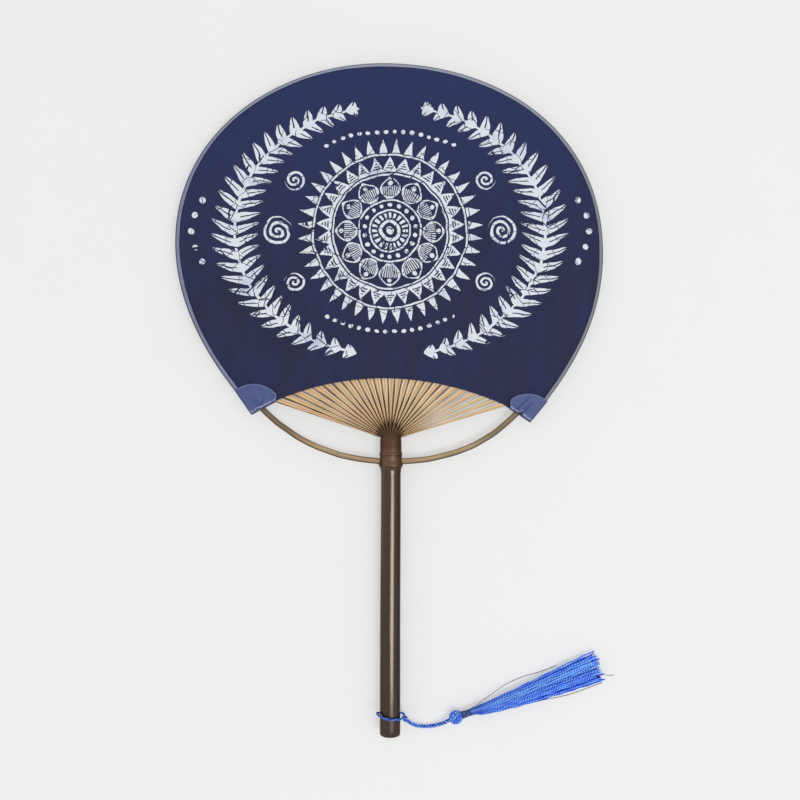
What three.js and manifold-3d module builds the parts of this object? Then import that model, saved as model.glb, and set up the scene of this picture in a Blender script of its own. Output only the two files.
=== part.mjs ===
// A round hand fan: a bamboo culm split into ribs, two cloth faces, a bow, and a tassel on a cord.
// Millimetres. X runs to the right, Y along the handle towards the leaf, Z out of the front face.
// Inside the fan group Y is measured from the handle's end and Z from the handle's axis.
import * as THREE from 'three';
import { mergeVertices } from 'three/addons/utils/BufferGeometryUtils.js';
import Module from 'manifold-3d';

const wasm = await Module();
wasm.setup();

const vec2 = (x, y) => new THREE.Vector2(x, y);
const vec3 = (x, y, z) => new THREE.Vector3(x, y, z);
const { lerp, degToRad, smoothstep } = THREE.MathUtils;

// Fits
const FIT_GAP = 0.3; // between pieces that touch
const LAY_GAP = 0.1; // between the layers of the leaf

// Handle culm
const FAN_LENGTH = 404; // handle end to the top of the leaf
const CULM_DIAMETER = 12.4;
const CULM_BORE = 6.4;
const CULM_SPLIT_HEIGHT = 175; // where the culm's wall is split into ribs
const CULM_END_ROUNDING = 0.7;
const NODE_RIDGE_DIAMETER = 14.2;
const NODE_RIDGE_BELOW_BOW = 2.1;
const SHEATH_RING_DIAMETER = 13.4;
const SHEATH_RING_ABOVE_BOW = 4.3;
const RING_HALF_WIDTH = 1.4;
const RING_CREST_HALF_WIDTH = 0.5;
const RING_SHOULDER = 0.7; // share of a ring's height at the edge of its crest
const DIAPHRAGM_BELOW_BOW = 7; // the node is solid between these two
const DIAPHRAGM_ABOVE_BOW = 5;
const CULM_SIDES = 32;

// Wooden plug in the hollow end of the handle
const PLUG_LENGTH = 9;
const PLUG_RECESS = 0.4;

// Bow: a bent stick through the node
const BOW_HEIGHT = 164.5; // of its lowest point
const BOW_OFFSET = 2.1; // of its lowest point to the right of the handle's axis
const BOW_RADIUS = 113.6;
const BOW_REACH = 81; // from its lowest point out to each tip
const BOW_WIDTH = 3.4;
const BOW_TIP_WIDTH = 2.9;
const BOW_THICKNESS = 2.9;
const BOW_TIP_THICKNESS = 1.8;
const BOW_CORNER = 0.45; // flat that eases each long edge
const BOW_STEPS = 36;

// Ribs, split from the culm's wall by turns from its front half and its back half
const RIB_COUNT = 27;
const RIB_SPREAD = 69.2; // degrees from the middle rib to the outermost one
const RIB_CROWDING = 0.207; // the ribs lie closer together towards the sides
const RIB_LEAN = 1.6; // degrees that the middle rib leans to the right
const RIB_ROOT_SPREAD = 86; // degrees round the culm from the middle root to the outermost one
const RIB_ROOT_INSET = 0.9; // from the culm's surface to the middle of a root
const RIB_CENTRE_ABOVE_SPLIT = 1.5; // the point that all ribs fan out from
const RIB_THICKNESS = 1.0;
const RIB_ROOT_WIDTH = 0.8;
const RIB_NECK_WIDTH = 0.35;
const RIB_FILL = 0.78; // share of the pitch that a rib fills
const RIB_BEND_LENGTH = 14; // from the fan-out point to the end of the root's bend
const RIB_FLAT_LENGTH = 34; // from the fan-out point to where all ribs lie in one plane
const RIB_BEND_STEPS = 6;
const RIB_FLAT_STEPS = 4;
const RIB_TIP_GAP = 1.2; // from the tip of a rib to the inside of the rim binding

// Leaf outline: one smooth curve from corner to corner over the crown
const LEAF_HALF_WIDTH = 128.2;
const CROWN = { offset: -0.7, roundLeft: 71.2, roundRight: 73.4 };
const LEFT_SIDE = { height: 295.5, roundAbove: 66.5, roundBelow: 40.4 };
const RIGHT_SIDE = { height: 291.2, roundAbove: 67.5, roundBelow: 41.7 };
const LEFT_CORNER = { x: -81.4, y: 193.2, flankAngle: 128.4, flankRound: 33.8 };
const RIGHT_CORNER = { x: 84.5, y: 188.5, flankAngle: 51.0, flankRound: 37.2 };
const RIM_STEPS_PER_CURVE = 15;

// Lower edge of the cloth: an arch over the bare ribs
const ARCH_APEX = { x: 0, y: 215.2 };
const LEFT_ARCH_END = { x: -66.0, y: 202.2 };
const RIGHT_ARCH_END = { x: 67.8, y: 199.0 };
const ARCH_STEPS = 20;

// Layers of the leaf
const THREAD_DIAMETER = 0.4;
const THREAD_ABOVE_ARCH = 7;
const THREAD_TIE_SHARE = 0.96; // where it meets the bow, on the way from the culm to a tip
const THREAD_SIDES = 5;
const CLOTH_THICKNESS = 0.3;
const BINDING_THICKNESS = 0.3;
const BINDING_WIDTH = 2.8;
const PATCH_THICKNESS = 0.35;
const PATCH_RADIUS = 17.5;
const PATCH_SIDES = 48; // of the full circle that it is cut from

// Hanging loop, its knot and the tassel
const CORD_HOLE_HEIGHT = 13;
const LOOP_DIAMETER = 1.4;
const KNOT_DIAMETER = 3.6;
const TASSEL_CORD_DIAMETER = 2.3;
const CORD_SIDES = 8;
const KNOT_SIDES = 12;
const TASSEL_SIDES = 20;
const KNOB_LENGTH = 9.4;
const KNOB_DIAMETER = 8.2;
const NECK_LENGTH = 7.0;
const NECK_DIAMETER = 5.4;
const SKIRT_LENGTH = 78;
const SKIRT_END_WIDTH = 18.6;
const SKIRT_END_HEIGHT = 5.8;
const SKIRT_BELLY = 0.8; // how far its middle swells above a straight taper
const SKIRT_FLARE = 0.75; // below 1 the skirt opens fast near the neck
const SKIRT_FLUTES = 12;
const SKIRT_FLUTE_DEPTH = 0.04; // share of the section's radius
const SKIRT_STEPS = 8;
const TASSEL_DIRECTION = 19.3; // degrees from the X axis

// Heights of the leaf's layers above its middle plane, from the ribs outwards
const THREAD_LEVEL = RIB_THICKNESS / 2 + LAY_GAP + THREAD_DIAMETER / 2;
const CLOTH_INNER = THREAD_LEVEL + THREAD_DIAMETER / 2 + LAY_GAP;
const CLOTH_OUTER = CLOTH_INNER + CLOTH_THICKNESS;
const BINDING_INNER = CLOTH_OUTER + LAY_GAP;
const BINDING_OUTER = BINDING_INNER + BINDING_THICKNESS;
const PATCH_INNER = BINDING_OUTER + LAY_GAP;
const PATCH_OUTER = PATCH_INNER + PATCH_THICKNESS;

// The fan lies on its node ridge, so the ridge sets the height of the handle's axis over the table
const TABLE = -NODE_RIDGE_DIAMETER / 2;
const CULM_RADIUS = CULM_DIAMETER / 2;
const RIB_CENTRE = vec2(0, CULM_SPLIT_HEIGHT + RIB_CENTRE_ABOVE_SPLIT);
const MIDDLE_RIB = (RIB_COUNT - 1) / 2;
const FRONT = vec3(0, 0, 1);
const BACK = vec3(0, 0, -1);

// Cord routes, chosen by hand from the hole in the handle to the tassel's knob
const KNOT_CENTRE = vec3(8.8, 9.9, 0.6);
const KNOB_CENTRE = vec3(39.9, 9.3, TABLE + KNOB_DIAMETER / 2 + LAY_GAP);
const LOOP_ROUTE = [
  vec3(8.6, 12.1, 0.4),
  vec3(7.6, 12.9, 0.1),
  vec3(6.0, CORD_HOLE_HEIGHT, 0),
  vec3(0, CORD_HOLE_HEIGHT, 0),
  vec3(-6.2, CORD_HOLE_HEIGHT, 0),
  vec3(-7.6, 13.3, 1.2),
  vec3(-7.4, 13.2, 3.3),
  vec3(-5.3, 12.1, 5.6),
  vec3(-2.4, 10.4, 7.0),
  vec3(1.0, 9.1, 7.25),
  vec3(4.3, 8.7, 6.2),
  vec3(6.8, 9.0, 4.6),
  vec3(8.3, 9.5, 2.8),
];
const LOOP_STEPS = 30;
const TASSEL_CORD_ROUTE = [
  vec3(10.0, 8.4, -0.4),
  vec3(11.6, 6.7, -1.7),
  vec3(13.6, 4.9, -3.3),
  vec3(16.0, 3.6, -4.7),
  vec3(18.8, 2.9, -5.5),
  vec3(21.8, 2.7, -5.8),
  vec3(24.8, 2.9, -5.7),
  vec3(27.6, 3.6, -5.2),
  vec3(30.4, 4.6, -4.4),
  vec3(33.0, 5.9, -3.6),
  vec3(35.3, 7.2, -3.3),
];
const TASSEL_CORD_STEPS = 12;

// Solids from closed geometry, and back
const MERGE_DISTANCE = 1e-4;

function solidOf(geometry) {
  const bare = geometry.clone();
  bare.deleteAttribute('normal');
  bare.deleteAttribute('uv');
  const merged = mergeVertices(bare, MERGE_DISTANCE);
  const mesh = new wasm.Mesh({
    numProp: 3,
    vertProperties: merged.attributes.position.array,
    triVerts: new Uint32Array(merged.index.array),
  });
  return new wasm.Manifold(mesh);
}

function geometryOf(solid) {
  const mesh = solid.getMesh();
  const geometry = new THREE.BufferGeometry();
  geometry.setAttribute('position', new THREE.BufferAttribute(mesh.vertProperties, 3));
  geometry.setIndex(new THREE.BufferAttribute(mesh.triVerts, 1));
  geometry.computeVertexNormals();
  return geometry;
}

function cut(geometry, ...tools) {
  return geometryOf(tools.reduce((solid, tool) => solid.subtract(solidOf(tool)), solidOf(geometry)));
}

function common(first, second) {
  return geometryOf(solidOf(first).intersect(solidOf(second)));
}

// A closed body through rings of equally many points, capped by the triangles of one flat profile
function loft(rings, profile) {
  const count = profile.length;
  const positions = rings.flat().flatMap((p) => [p.x, p.y, p.z]);
  const faces = [];
  for (let ring = 0; ring + 1 < rings.length; ring++) {
    for (let i = 0; i < count; i++) {
      const a = ring * count + i;
      const b = ring * count + ((i + 1) % count);
      faces.push(a, b, b + count, a, b + count, a + count);
    }
  }
  const last = (rings.length - 1) * count;
  for (const [a, b, c] of THREE.ShapeUtils.triangulateShape(profile, [])) {
    faces.push(a, c, b, last + a, last + b, last + c);
  }
  const geometry = new THREE.BufferGeometry();
  geometry.setAttribute('position', new THREE.Float32BufferAttribute(positions, 3));
  geometry.setIndex(faces);
  geometry.computeVertexNormals();
  return geometry;
}

// A ring of a loft: a flat profile laid out along two directions from a point
function ringAt(centre, across, up, profile) {
  return profile.map((p) => centre.clone().addScaledVector(across, p.x).addScaledVector(up, p.y));
}

function rectangle(width, height) {
  const x = width / 2;
  const y = height / 2;
  return [vec2(-x, -y), vec2(x, -y), vec2(x, y), vec2(-x, y)];
}

// A rectangle whose corners are cut off
function easedRectangle(width, height, corner) {
  const x = width / 2;
  const y = height / 2;
  return [
    vec2(-x + corner, -y),
    vec2(x - corner, -y),
    vec2(x, -y + corner),
    vec2(x, y - corner),
    vec2(x - corner, y),
    vec2(-x + corner, y),
    vec2(-x, y - corner),
    vec2(-x, -y + corner),
  ];
}

function circle(diameter, sides) {
  const points = [];
  for (let i = 0; i < sides; i++) {
    const angle = (2 * Math.PI * i) / sides;
    points.push(vec2((diameter / 2) * Math.cos(angle), (diameter / 2) * Math.sin(angle)));
  }
  return points;
}

function tubeAlong(path, diameter, sides, steps) {
  return new THREE.ExtrudeGeometry(new THREE.Shape(circle(diameter, sides)), { steps, extrudePath: path });
}

// A tube that runs straight from point to point
function kinkedTube(points, diameter, sides) {
  const section = circle(diameter, sides);
  const rings = points.map((point, i) => {
    const before = points[Math.max(0, i - 1)];
    const after = points[Math.min(points.length - 1, i + 1)];
    const forward = after.clone().sub(before).normalize();
    const across = vec3(-forward.y, forward.x, 0).normalize();
    return ringAt(point, across, forward.cross(across), section);
  });
  return loft(rings, section);
}

// A flat plate between two heights
function plate(outline, low, high) {
  const options = { depth: high - low, bevelEnabled: false };
  return new THREE.ExtrudeGeometry(new THREE.Shape(outline), options).translate(0, 0, low);
}

// The rim of the leaf from the left corner over the crown to the right corner
function flankPoint(corner) {
  const angle = degToRad(corner.flankAngle);
  return vec2(corner.x + corner.flankRound * Math.cos(angle), corner.y + corner.flankRound * Math.sin(angle));
}

function rimCurves() {
  const left = -LEAF_HALF_WIDTH;
  const right = LEAF_HALF_WIDTH;
  const crown = vec2(CROWN.offset, FAN_LENGTH);
  const leftSide = vec2(left, LEFT_SIDE.height);
  const rightSide = vec2(right, RIGHT_SIDE.height);
  return [
    new THREE.CubicBezierCurve(
      vec2(LEFT_CORNER.x, LEFT_CORNER.y),
      flankPoint(LEFT_CORNER),
      vec2(left, LEFT_SIDE.height - LEFT_SIDE.roundBelow),
      leftSide,
    ),
    new THREE.CubicBezierCurve(
      leftSide,
      vec2(left, LEFT_SIDE.height + LEFT_SIDE.roundAbove),
      vec2(CROWN.offset - CROWN.roundLeft, FAN_LENGTH),
      crown,
    ),
    new THREE.CubicBezierCurve(
      crown,
      vec2(CROWN.offset + CROWN.roundRight, FAN_LENGTH),
      vec2(right, RIGHT_SIDE.height + RIGHT_SIDE.roundAbove),
      rightSide,
    ),
    new THREE.CubicBezierCurve(
      rightSide,
      vec2(right, RIGHT_SIDE.height - RIGHT_SIDE.roundBelow),
      flankPoint(RIGHT_CORNER),
      vec2(RIGHT_CORNER.x, RIGHT_CORNER.y),
    ),
  ];
}

// Points along the rim, each with the direction into the leaf
function rimStations() {
  const stations = [];
  for (const curve of rimCurves()) {
    const first = stations.length ? 1 : 0;
    for (let i = first; i <= RIM_STEPS_PER_CURVE; i++) {
      const t = i / RIM_STEPS_PER_CURVE;
      const along = curve.getTangent(t);
      stations.push({ point: curve.getPoint(t), inward: vec2(along.y, -along.x) });
    }
  }
  return stations;
}

const RIM = rimStations();

function rimInset(distance) {
  return RIM.map(({ point, inward }) => point.clone().addScaledVector(inward, distance));
}

// The arch from its right end to its left end, through its apex, raised by a distance
function archPoints(rise) {
  const lift = vec2(0, rise);
  const control = vec2(2 * ARCH_APEX.x, 2 * ARCH_APEX.y);
  control.addScaledVector(LEFT_ARCH_END, -0.5).addScaledVector(RIGHT_ARCH_END, -0.5);
  const arch = new THREE.QuadraticBezierCurve(RIGHT_ARCH_END, control, LEFT_ARCH_END);
  return arch.getPoints(ARCH_STEPS).map((point) => point.add(lift));
}

// Handle
function ringBump(height, radius) {
  const shoulder = lerp(CULM_RADIUS, radius, RING_SHOULDER);
  return [
    vec2(CULM_RADIUS, height - RING_HALF_WIDTH),
    vec2(shoulder, height - RING_CREST_HALF_WIDTH),
    vec2(radius, height),
    vec2(shoulder, height + RING_CREST_HALF_WIDTH),
    vec2(CULM_RADIUS, height + RING_HALF_WIDTH),
  ];
}

function handleCulm() {
  const bore = CULM_BORE / 2;
  const lowerBoreTop = BOW_HEIGHT - DIAPHRAGM_BELOW_BOW;
  const upperBoreFloor = BOW_HEIGHT + DIAPHRAGM_ABOVE_BOW;
  const profile = [
    vec2(0, lowerBoreTop),
    vec2(bore, lowerBoreTop),
    vec2(bore, 0),
    vec2(CULM_RADIUS - CULM_END_ROUNDING, 0),
    vec2(CULM_RADIUS, CULM_END_ROUNDING),
    ...ringBump(BOW_HEIGHT - NODE_RIDGE_BELOW_BOW, NODE_RIDGE_DIAMETER / 2),
    ...ringBump(BOW_HEIGHT + SHEATH_RING_ABOVE_BOW, SHEATH_RING_DIAMETER / 2),
    vec2(CULM_RADIUS, CULM_SPLIT_HEIGHT),
    vec2(bore, CULM_SPLIT_HEIGHT),
    vec2(bore, upperBoreFloor),
    vec2(0, upperBoreFloor),
  ];
  const culm = new THREE.LatheGeometry(profile, CULM_SIDES);
  const holeRadius = LOOP_DIAMETER / 2 + FIT_GAP;
  const cordHole = new THREE.CylinderGeometry(holeRadius, holeRadius, 2 * CULM_DIAMETER, 2 * CORD_SIDES);
  cordHole.rotateZ(Math.PI / 2).translate(0, CORD_HOLE_HEIGHT, 0);
  return cut(culm, bowStick(FIT_GAP), cordHole);
}

function handleEndPlug() {
  const radius = CULM_BORE / 2 - FIT_GAP / 2;
  const plug = new THREE.CylinderGeometry(radius, radius, PLUG_LENGTH, CULM_SIDES);
  return plug.translate(0, PLUG_RECESS + PLUG_LENGTH / 2, 0);
}

// Bow: a circular arc that thins towards its tips
function bowFrame(share) {
  const angle = share * Math.asin(BOW_REACH / BOW_RADIUS);
  const inward = vec3(-Math.sin(angle), Math.cos(angle), 0);
  const centre = inward.clone().multiplyScalar(-BOW_RADIUS).add(vec3(BOW_OFFSET, BOW_HEIGHT + BOW_RADIUS, 0));
  return { centre, inward };
}

// The bow itself, or the hole that clears it when it is grown by a clearance
function bowStick(clearance) {
  const section = (share) => {
    const width = lerp(BOW_WIDTH, BOW_TIP_WIDTH, share) + 2 * clearance;
    const thickness = lerp(BOW_THICKNESS, BOW_TIP_THICKNESS, share) + 2 * clearance;
    return easedRectangle(width, thickness, BOW_CORNER);
  };
  const rings = [];
  for (let i = 0; i <= BOW_STEPS; i++) {
    const share = (2 * i) / BOW_STEPS - 1;
    const { centre, inward } = bowFrame(share);
    rings.push(ringAt(centre, inward, FRONT, section(Math.abs(share))));
  }
  return loft(rings, section(1));
}

// Ribs
function ribShare(index) {
  const share = index / MIDDLE_RIB - 1;
  return (1 + RIB_CROWDING) * share - RIB_CROWDING * share ** 3;
}

function ribAngle(index) {
  return degToRad(RIB_LEAN + RIB_SPREAD * ribShare(index));
}

function ribDirection(index) {
  return vec2(Math.sin(ribAngle(index)), Math.cos(ribAngle(index)));
}

function ribPoint(index, reach) {
  return RIB_CENTRE.clone().addScaledVector(ribDirection(index), reach);
}

// Angle between a rib and its neighbour on the outer side
function ribPitch(index) {
  const outer = Math.min(MIDDLE_RIB + Math.abs(index - MIDDLE_RIB) + 1, RIB_COUNT - 1);
  return ribAngle(outer) - ribAngle(outer - 1);
}

// Distance from the fan-out point, along a rib, to a line of points
function reachTo(points, index) {
  const along = ribDirection(index);
  for (let i = 0; i + 1 < points.length; i++) {
    const a = points[i].clone().sub(RIB_CENTRE);
    const b = points[i + 1].clone().sub(RIB_CENTRE);
    const sideA = along.cross(a);
    const sideB = along.cross(b);
    const ahead = a.dot(along) > 0 && b.dot(along) > 0;
    if (ahead && sideA * sideB <= 0) {
      return a.lerp(b, sideA / (sideA - sideB)).dot(along);
    }
  }
  throw new Error(`rib ${index} doesn't cross this line`);
}

function reachToCloth(index) {
  const lowerEdge = [
    vec2(RIGHT_CORNER.x, RIGHT_CORNER.y),
    ...archPoints(0),
    vec2(LEFT_CORNER.x, LEFT_CORNER.y),
  ];
  return reachTo(lowerEdge, index);
}

function ribWidth(index, reach) {
  const flared = RIB_FILL * ribPitch(index) * Math.min(reach, reachToCloth(index));
  return Math.max(RIB_NECK_WIDTH, flared);
}

// Where a rib leaves the culm's wall: alternately its front and its back half
function ribRoot(index) {
  const side = (index - MIDDLE_RIB) % 2 ? -1 : 1;
  const angle = degToRad(RIB_ROOT_SPREAD) * ribShare(index);
  const radius = CULM_RADIUS - RIB_ROOT_INSET;
  return {
    x: radius * Math.sin(angle),
    z: side * radius * Math.cos(angle),
    across: vec3(Math.cos(angle), 0, -side * Math.sin(angle)),
  };
}

// The line of a rib in the leaf's plane: up out of the culm, bent into its direction, then straight
function ribLine(index, root) {
  const along = ribDirection(index);
  const bendReach = along.x === 0 ? 0 : root.x / along.x;
  const bend = new THREE.QuadraticBezierCurve(
    vec2(root.x, CULM_SPLIT_HEIGHT + FIT_GAP),
    ribPoint(index, bendReach),
    ribPoint(index, RIB_BEND_LENGTH),
  );
  const line = [];
  for (let i = 0; i <= RIB_BEND_STEPS; i++) {
    line.push({ point: bend.getPoint(i / RIB_BEND_STEPS), along: bend.getTangent(i / RIB_BEND_STEPS) });
  }
  const reaches = [];
  for (let i = 1; i <= RIB_FLAT_STEPS; i++) {
    reaches.push(lerp(RIB_BEND_LENGTH, RIB_FLAT_LENGTH, i / RIB_FLAT_STEPS));
  }
  reaches.push(reachToCloth(index), reachTo(rimInset(BINDING_WIDTH + RIB_TIP_GAP), index));
  for (const reach of reaches) {
    line.push({ point: ribPoint(index, reach), along });
  }
  return line;
}

// A rib, or the slot that clears it when it is grown by a clearance
function rib(index, clearance) {
  const root = ribRoot(index);
  let travel = 0;
  let previous = null;
  const rings = ribLine(index, root).map(({ point, along }, step) => {
    travel += previous ? point.distanceTo(previous) : 0;
    previous = point;
    const settled = smoothstep(travel, 0, RIB_FLAT_LENGTH);
    const centre = vec3(point.x, point.y, root.z * (1 - settled));
    const forward = vec3(along.x, along.y, 0);
    const turned = Math.min(1, step / RIB_BEND_STEPS);
    const across = root.across.clone().lerp(vec3(along.y, -along.x, 0), turned);
    across.addScaledVector(forward, -across.dot(forward)).normalize();
    const up = forward.clone().cross(across);
    const rootShare = Math.max(0, 1 - (2 * step) / RIB_BEND_STEPS);
    const width = lerp(ribWidth(index, point.distanceTo(RIB_CENTRE)), RIB_ROOT_WIDTH, rootShare);
    return ringAt(centre, across, up, rectangle(width + 2 * clearance, RIB_THICKNESS + 2 * clearance));
  });
  return loft(rings, rectangle(RIB_ROOT_WIDTH, RIB_THICKNESS));
}

// A thread woven over and under the ribs inside the leaf, from one tip of the bow to the other
function spacingThread() {
  const tail = (share) => {
    const { centre, inward } = bowFrame(share);
    return centre.addScaledVector(inward, BOW_TIP_WIDTH / 2 + FIT_GAP + THREAD_DIAMETER / 2);
  };
  const leftTail = tail(-THREAD_TIE_SHARE);
  const rightTail = tail(THREAD_TIE_SHARE);
  const line = [
    vec2(rightTail.x, rightTail.y),
    ...archPoints(THREAD_ABOVE_ARCH),
    vec2(leftTail.x, leftTail.y),
  ];
  const points = [leftTail];
  for (let index = 0; index < RIB_COUNT; index++) {
    const reach = reachTo(line, index);
    const middle = ribPoint(index, reach);
    const along = ribDirection(index);
    const level = index % 2 ? THREAD_LEVEL : -THREAD_LEVEL;
    const half = ribWidth(index, reach) / 2 + LAY_GAP;
    points.push(vec3(middle.x - half * along.y, middle.y + half * along.x, level));
    points.push(vec3(middle.x + half * along.y, middle.y - half * along.x, level));
  }
  points.push(rightTail);
  return kinkedTube(points, THREAD_DIAMETER, THREAD_SIDES);
}

// Leaf
function clothFace(low, high) {
  return plate([...rimInset(BINDING_THICKNESS + LAY_GAP), ...archPoints(0)], low, high);
}

// A tape folded over both faces at the rim: its section is a U that opens into the leaf
function rimBinding() {
  const section = [
    vec2(0, -BINDING_OUTER),
    vec2(BINDING_WIDTH, -BINDING_OUTER),
    vec2(BINDING_WIDTH, -BINDING_INNER),
    vec2(BINDING_THICKNESS, -BINDING_INNER),
    vec2(BINDING_THICKNESS, BINDING_INNER),
    vec2(BINDING_WIDTH, BINDING_INNER),
    vec2(BINDING_WIDTH, BINDING_OUTER),
    vec2(0, BINDING_OUTER),
  ];
  const rings = RIM.map(({ point, inward }) =>
    ringAt(vec3(point.x, point.y, 0), vec3(inward.x, inward.y, 0), BACK, section),
  );
  return loft(rings, section);
}

// The tip of a corner and the end of the arch beside it, both moved out of the leaf by a distance
function grownLowerEdge(corner, archEnd, distance) {
  const flank = degToRad(corner.flankAngle);
  const lower = Math.atan2(archEnd.y - corner.y, archEnd.x - corner.x);
  const shift = distance / Math.abs(Math.sin(flank - lower));
  const tip = vec2(
    corner.x - shift * (Math.cos(flank) + Math.cos(lower)),
    corner.y - shift * (Math.sin(flank) + Math.sin(lower)),
  );
  const length = Math.hypot(archEnd.x - corner.x, archEnd.y - corner.y);
  const end = vec2(tip.x + length * Math.cos(lower), tip.y + length * Math.sin(lower));
  return { tip, end };
}

// The leaf's outline moved outwards by a distance, with a straight line in place of the arch
function grownOutline(distance) {
  const left = grownLowerEdge(LEFT_CORNER, LEFT_ARCH_END, distance);
  const right = grownLowerEdge(RIGHT_CORNER, RIGHT_ARCH_END, distance);
  return [left.tip, ...rimInset(-distance), right.tip, right.end, left.end];
}

// A round patch folded over a corner of the leaf, with slots for the bow and the outermost rib
function cornerPatch(corner, outermostRib) {
  const disc = new THREE.CylinderGeometry(PATCH_RADIUS, PATCH_RADIUS, 4 * PATCH_OUTER, PATCH_SIDES);
  disc.rotateX(Math.PI / 2).translate(corner.x, corner.y, 0);
  const wrap = common(plate(grownOutline(LAY_GAP + PATCH_THICKNESS), -PATCH_OUTER, PATCH_OUTER), disc);
  const pocket = plate(grownOutline(LAY_GAP), -PATCH_INNER, PATCH_INNER);
  return cut(wrap, pocket, bowStick(FIT_GAP), rib(outermostRib, FIT_GAP));
}

// Cords
function hangingLoop() {
  return tubeAlong(new THREE.CatmullRomCurve3(LOOP_ROUTE), LOOP_DIAMETER, CORD_SIDES, LOOP_STEPS);
}

function loopKnot() {
  const knot = new THREE.SphereGeometry(KNOT_DIAMETER / 2, KNOT_SIDES, KNOT_SIDES / 2);
  return knot.translate(KNOT_CENTRE.x, KNOT_CENTRE.y, KNOT_CENTRE.z);
}

function tasselCord() {
  const path = new THREE.CatmullRomCurve3(TASSEL_CORD_ROUTE);
  return tubeAlong(path, TASSEL_CORD_DIAMETER, CORD_SIDES, TASSEL_CORD_STEPS);
}

// Tassel pieces, about the knob's centre with X along the tassel
const NECK_START = KNOB_LENGTH / 2 + FIT_GAP;
const SKIRT_START = NECK_START + NECK_LENGTH + FIT_GAP;

function tasselKnob() {
  const knob = new THREE.SphereGeometry(KNOB_DIAMETER / 2, TASSEL_SIDES, TASSEL_SIDES / 2);
  return knob.rotateZ(Math.PI / 2).scale(KNOB_LENGTH / KNOB_DIAMETER, 1, 1);
}

function neckBinding() {
  const neck = new THREE.CylinderGeometry(NECK_DIAMETER / 2, NECK_DIAMETER / 2, NECK_LENGTH, TASSEL_SIDES);
  return neck.rotateZ(Math.PI / 2).translate(NECK_START + NECK_LENGTH / 2, 0, 0);
}

// The skirt spreads on the table: a flattened, fluted bundle that sinks from the neck to the table
function tasselSkirt() {
  const outline = circle(2, 4 * SKIRT_FLUTES).map((point, i) =>
    point.multiplyScalar(1 + SKIRT_FLUTE_DEPTH * Math.cos((Math.PI * i) / 2)),
  );
  const floor = TABLE - KNOB_CENTRE.z + LAY_GAP;
  const rings = [];
  for (let i = 0; i <= SKIRT_STEPS; i++) {
    const share = i / SKIRT_STEPS;
    const halfWidth = lerp(NECK_DIAMETER, SKIRT_END_WIDTH, share ** SKIRT_FLARE) / 2;
    const belly = SKIRT_BELLY * Math.sin(Math.PI * share);
    const halfHeight = lerp(NECK_DIAMETER, SKIRT_END_HEIGHT, share) / 2 + belly;
    const lying = floor + halfHeight * (1 + SKIRT_FLUTE_DEPTH);
    const lifted = -(floor + (NECK_DIAMETER / 2) * (1 + SKIRT_FLUTE_DEPTH));
    const centre = vec3(SKIRT_START + share * SKIRT_LENGTH, 0, lying + lifted * (1 - share) ** 2);
    const section = outline.map((point) => vec2(point.x * halfWidth, point.y * halfHeight));
    rings.push(ringAt(centre, vec3(0, 1, 0), FRONT, section));
  }
  return loft(rings, outline);
}

// Finishes
function finish(color, roughness) {
  return new THREE.MeshStandardMaterial({ color, roughness, metalness: 0 });
}

function add(group, name, geometry, material) {
  const mesh = new THREE.Mesh(geometry, material);
  mesh.name = name;
  group.add(mesh);
}

// The fan lies on the table with its middle over the origin
const fan = new THREE.Group();
fan.position.set(0, -FAN_LENGTH / 2, -TABLE);

add(fan, 'handle_culm', handleCulm(), finish(0x4b352b, 0.35));
add(fan, 'handle_end_plug', handleEndPlug(), finish(0xa0764a, 0.7));
add(fan, 'bow', bowStick(0), finish(0x8d774a, 0.5));
for (let index = 0; index < RIB_COUNT; index++) {
  const number = String(index + 1).padStart(2, '0');
  add(fan, `rib_${number}`, rib(index, 0), finish(0xb48f5e, 0.6));
}
add(fan, 'spacing_thread', spacingThread(), finish(0xd8cdb5, 0.9));
add(fan, 'front_cloth', clothFace(CLOTH_INNER, CLOTH_OUTER), finish(0x2a3158, 0.9));
add(fan, 'back_cloth', clothFace(-CLOTH_OUTER, -CLOTH_INNER), finish(0x2a3158, 0.9));
add(fan, 'rim_binding', rimBinding(), finish(0x5b6588, 0.8));
add(fan, 'left_corner_patch', cornerPatch(LEFT_CORNER, 0), finish(0x5560a0, 0.7));
add(fan, 'right_corner_patch', cornerPatch(RIGHT_CORNER, RIB_COUNT - 1), finish(0x5560a0, 0.7));
add(fan, 'hanging_loop', hangingLoop(), finish(0x2b4fd0, 0.6));
add(fan, 'loop_knot', loopKnot(), finish(0x2b4fd0, 0.6));
add(fan, 'tassel_cord', tasselCord(), finish(0x2b4fd0, 0.6));

const tassel = new THREE.Group();
tassel.position.copy(KNOB_CENTRE);
tassel.rotation.z = degToRad(TASSEL_DIRECTION);
fan.add(tassel);
add(tassel, 'tassel_knob', tasselKnob(), finish(0x2b4fd0, 0.6));
add(tassel, 'tassel_neck_binding', neckBinding(), finish(0x1c2f80, 0.7));
add(tassel, 'tassel_skirt', tasselSkirt(), finish(0x3566e0, 0.6));

const part = new THREE.Group();
part.add(fan);

export default part;
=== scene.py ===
import math
from functools import partialmethod

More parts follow.
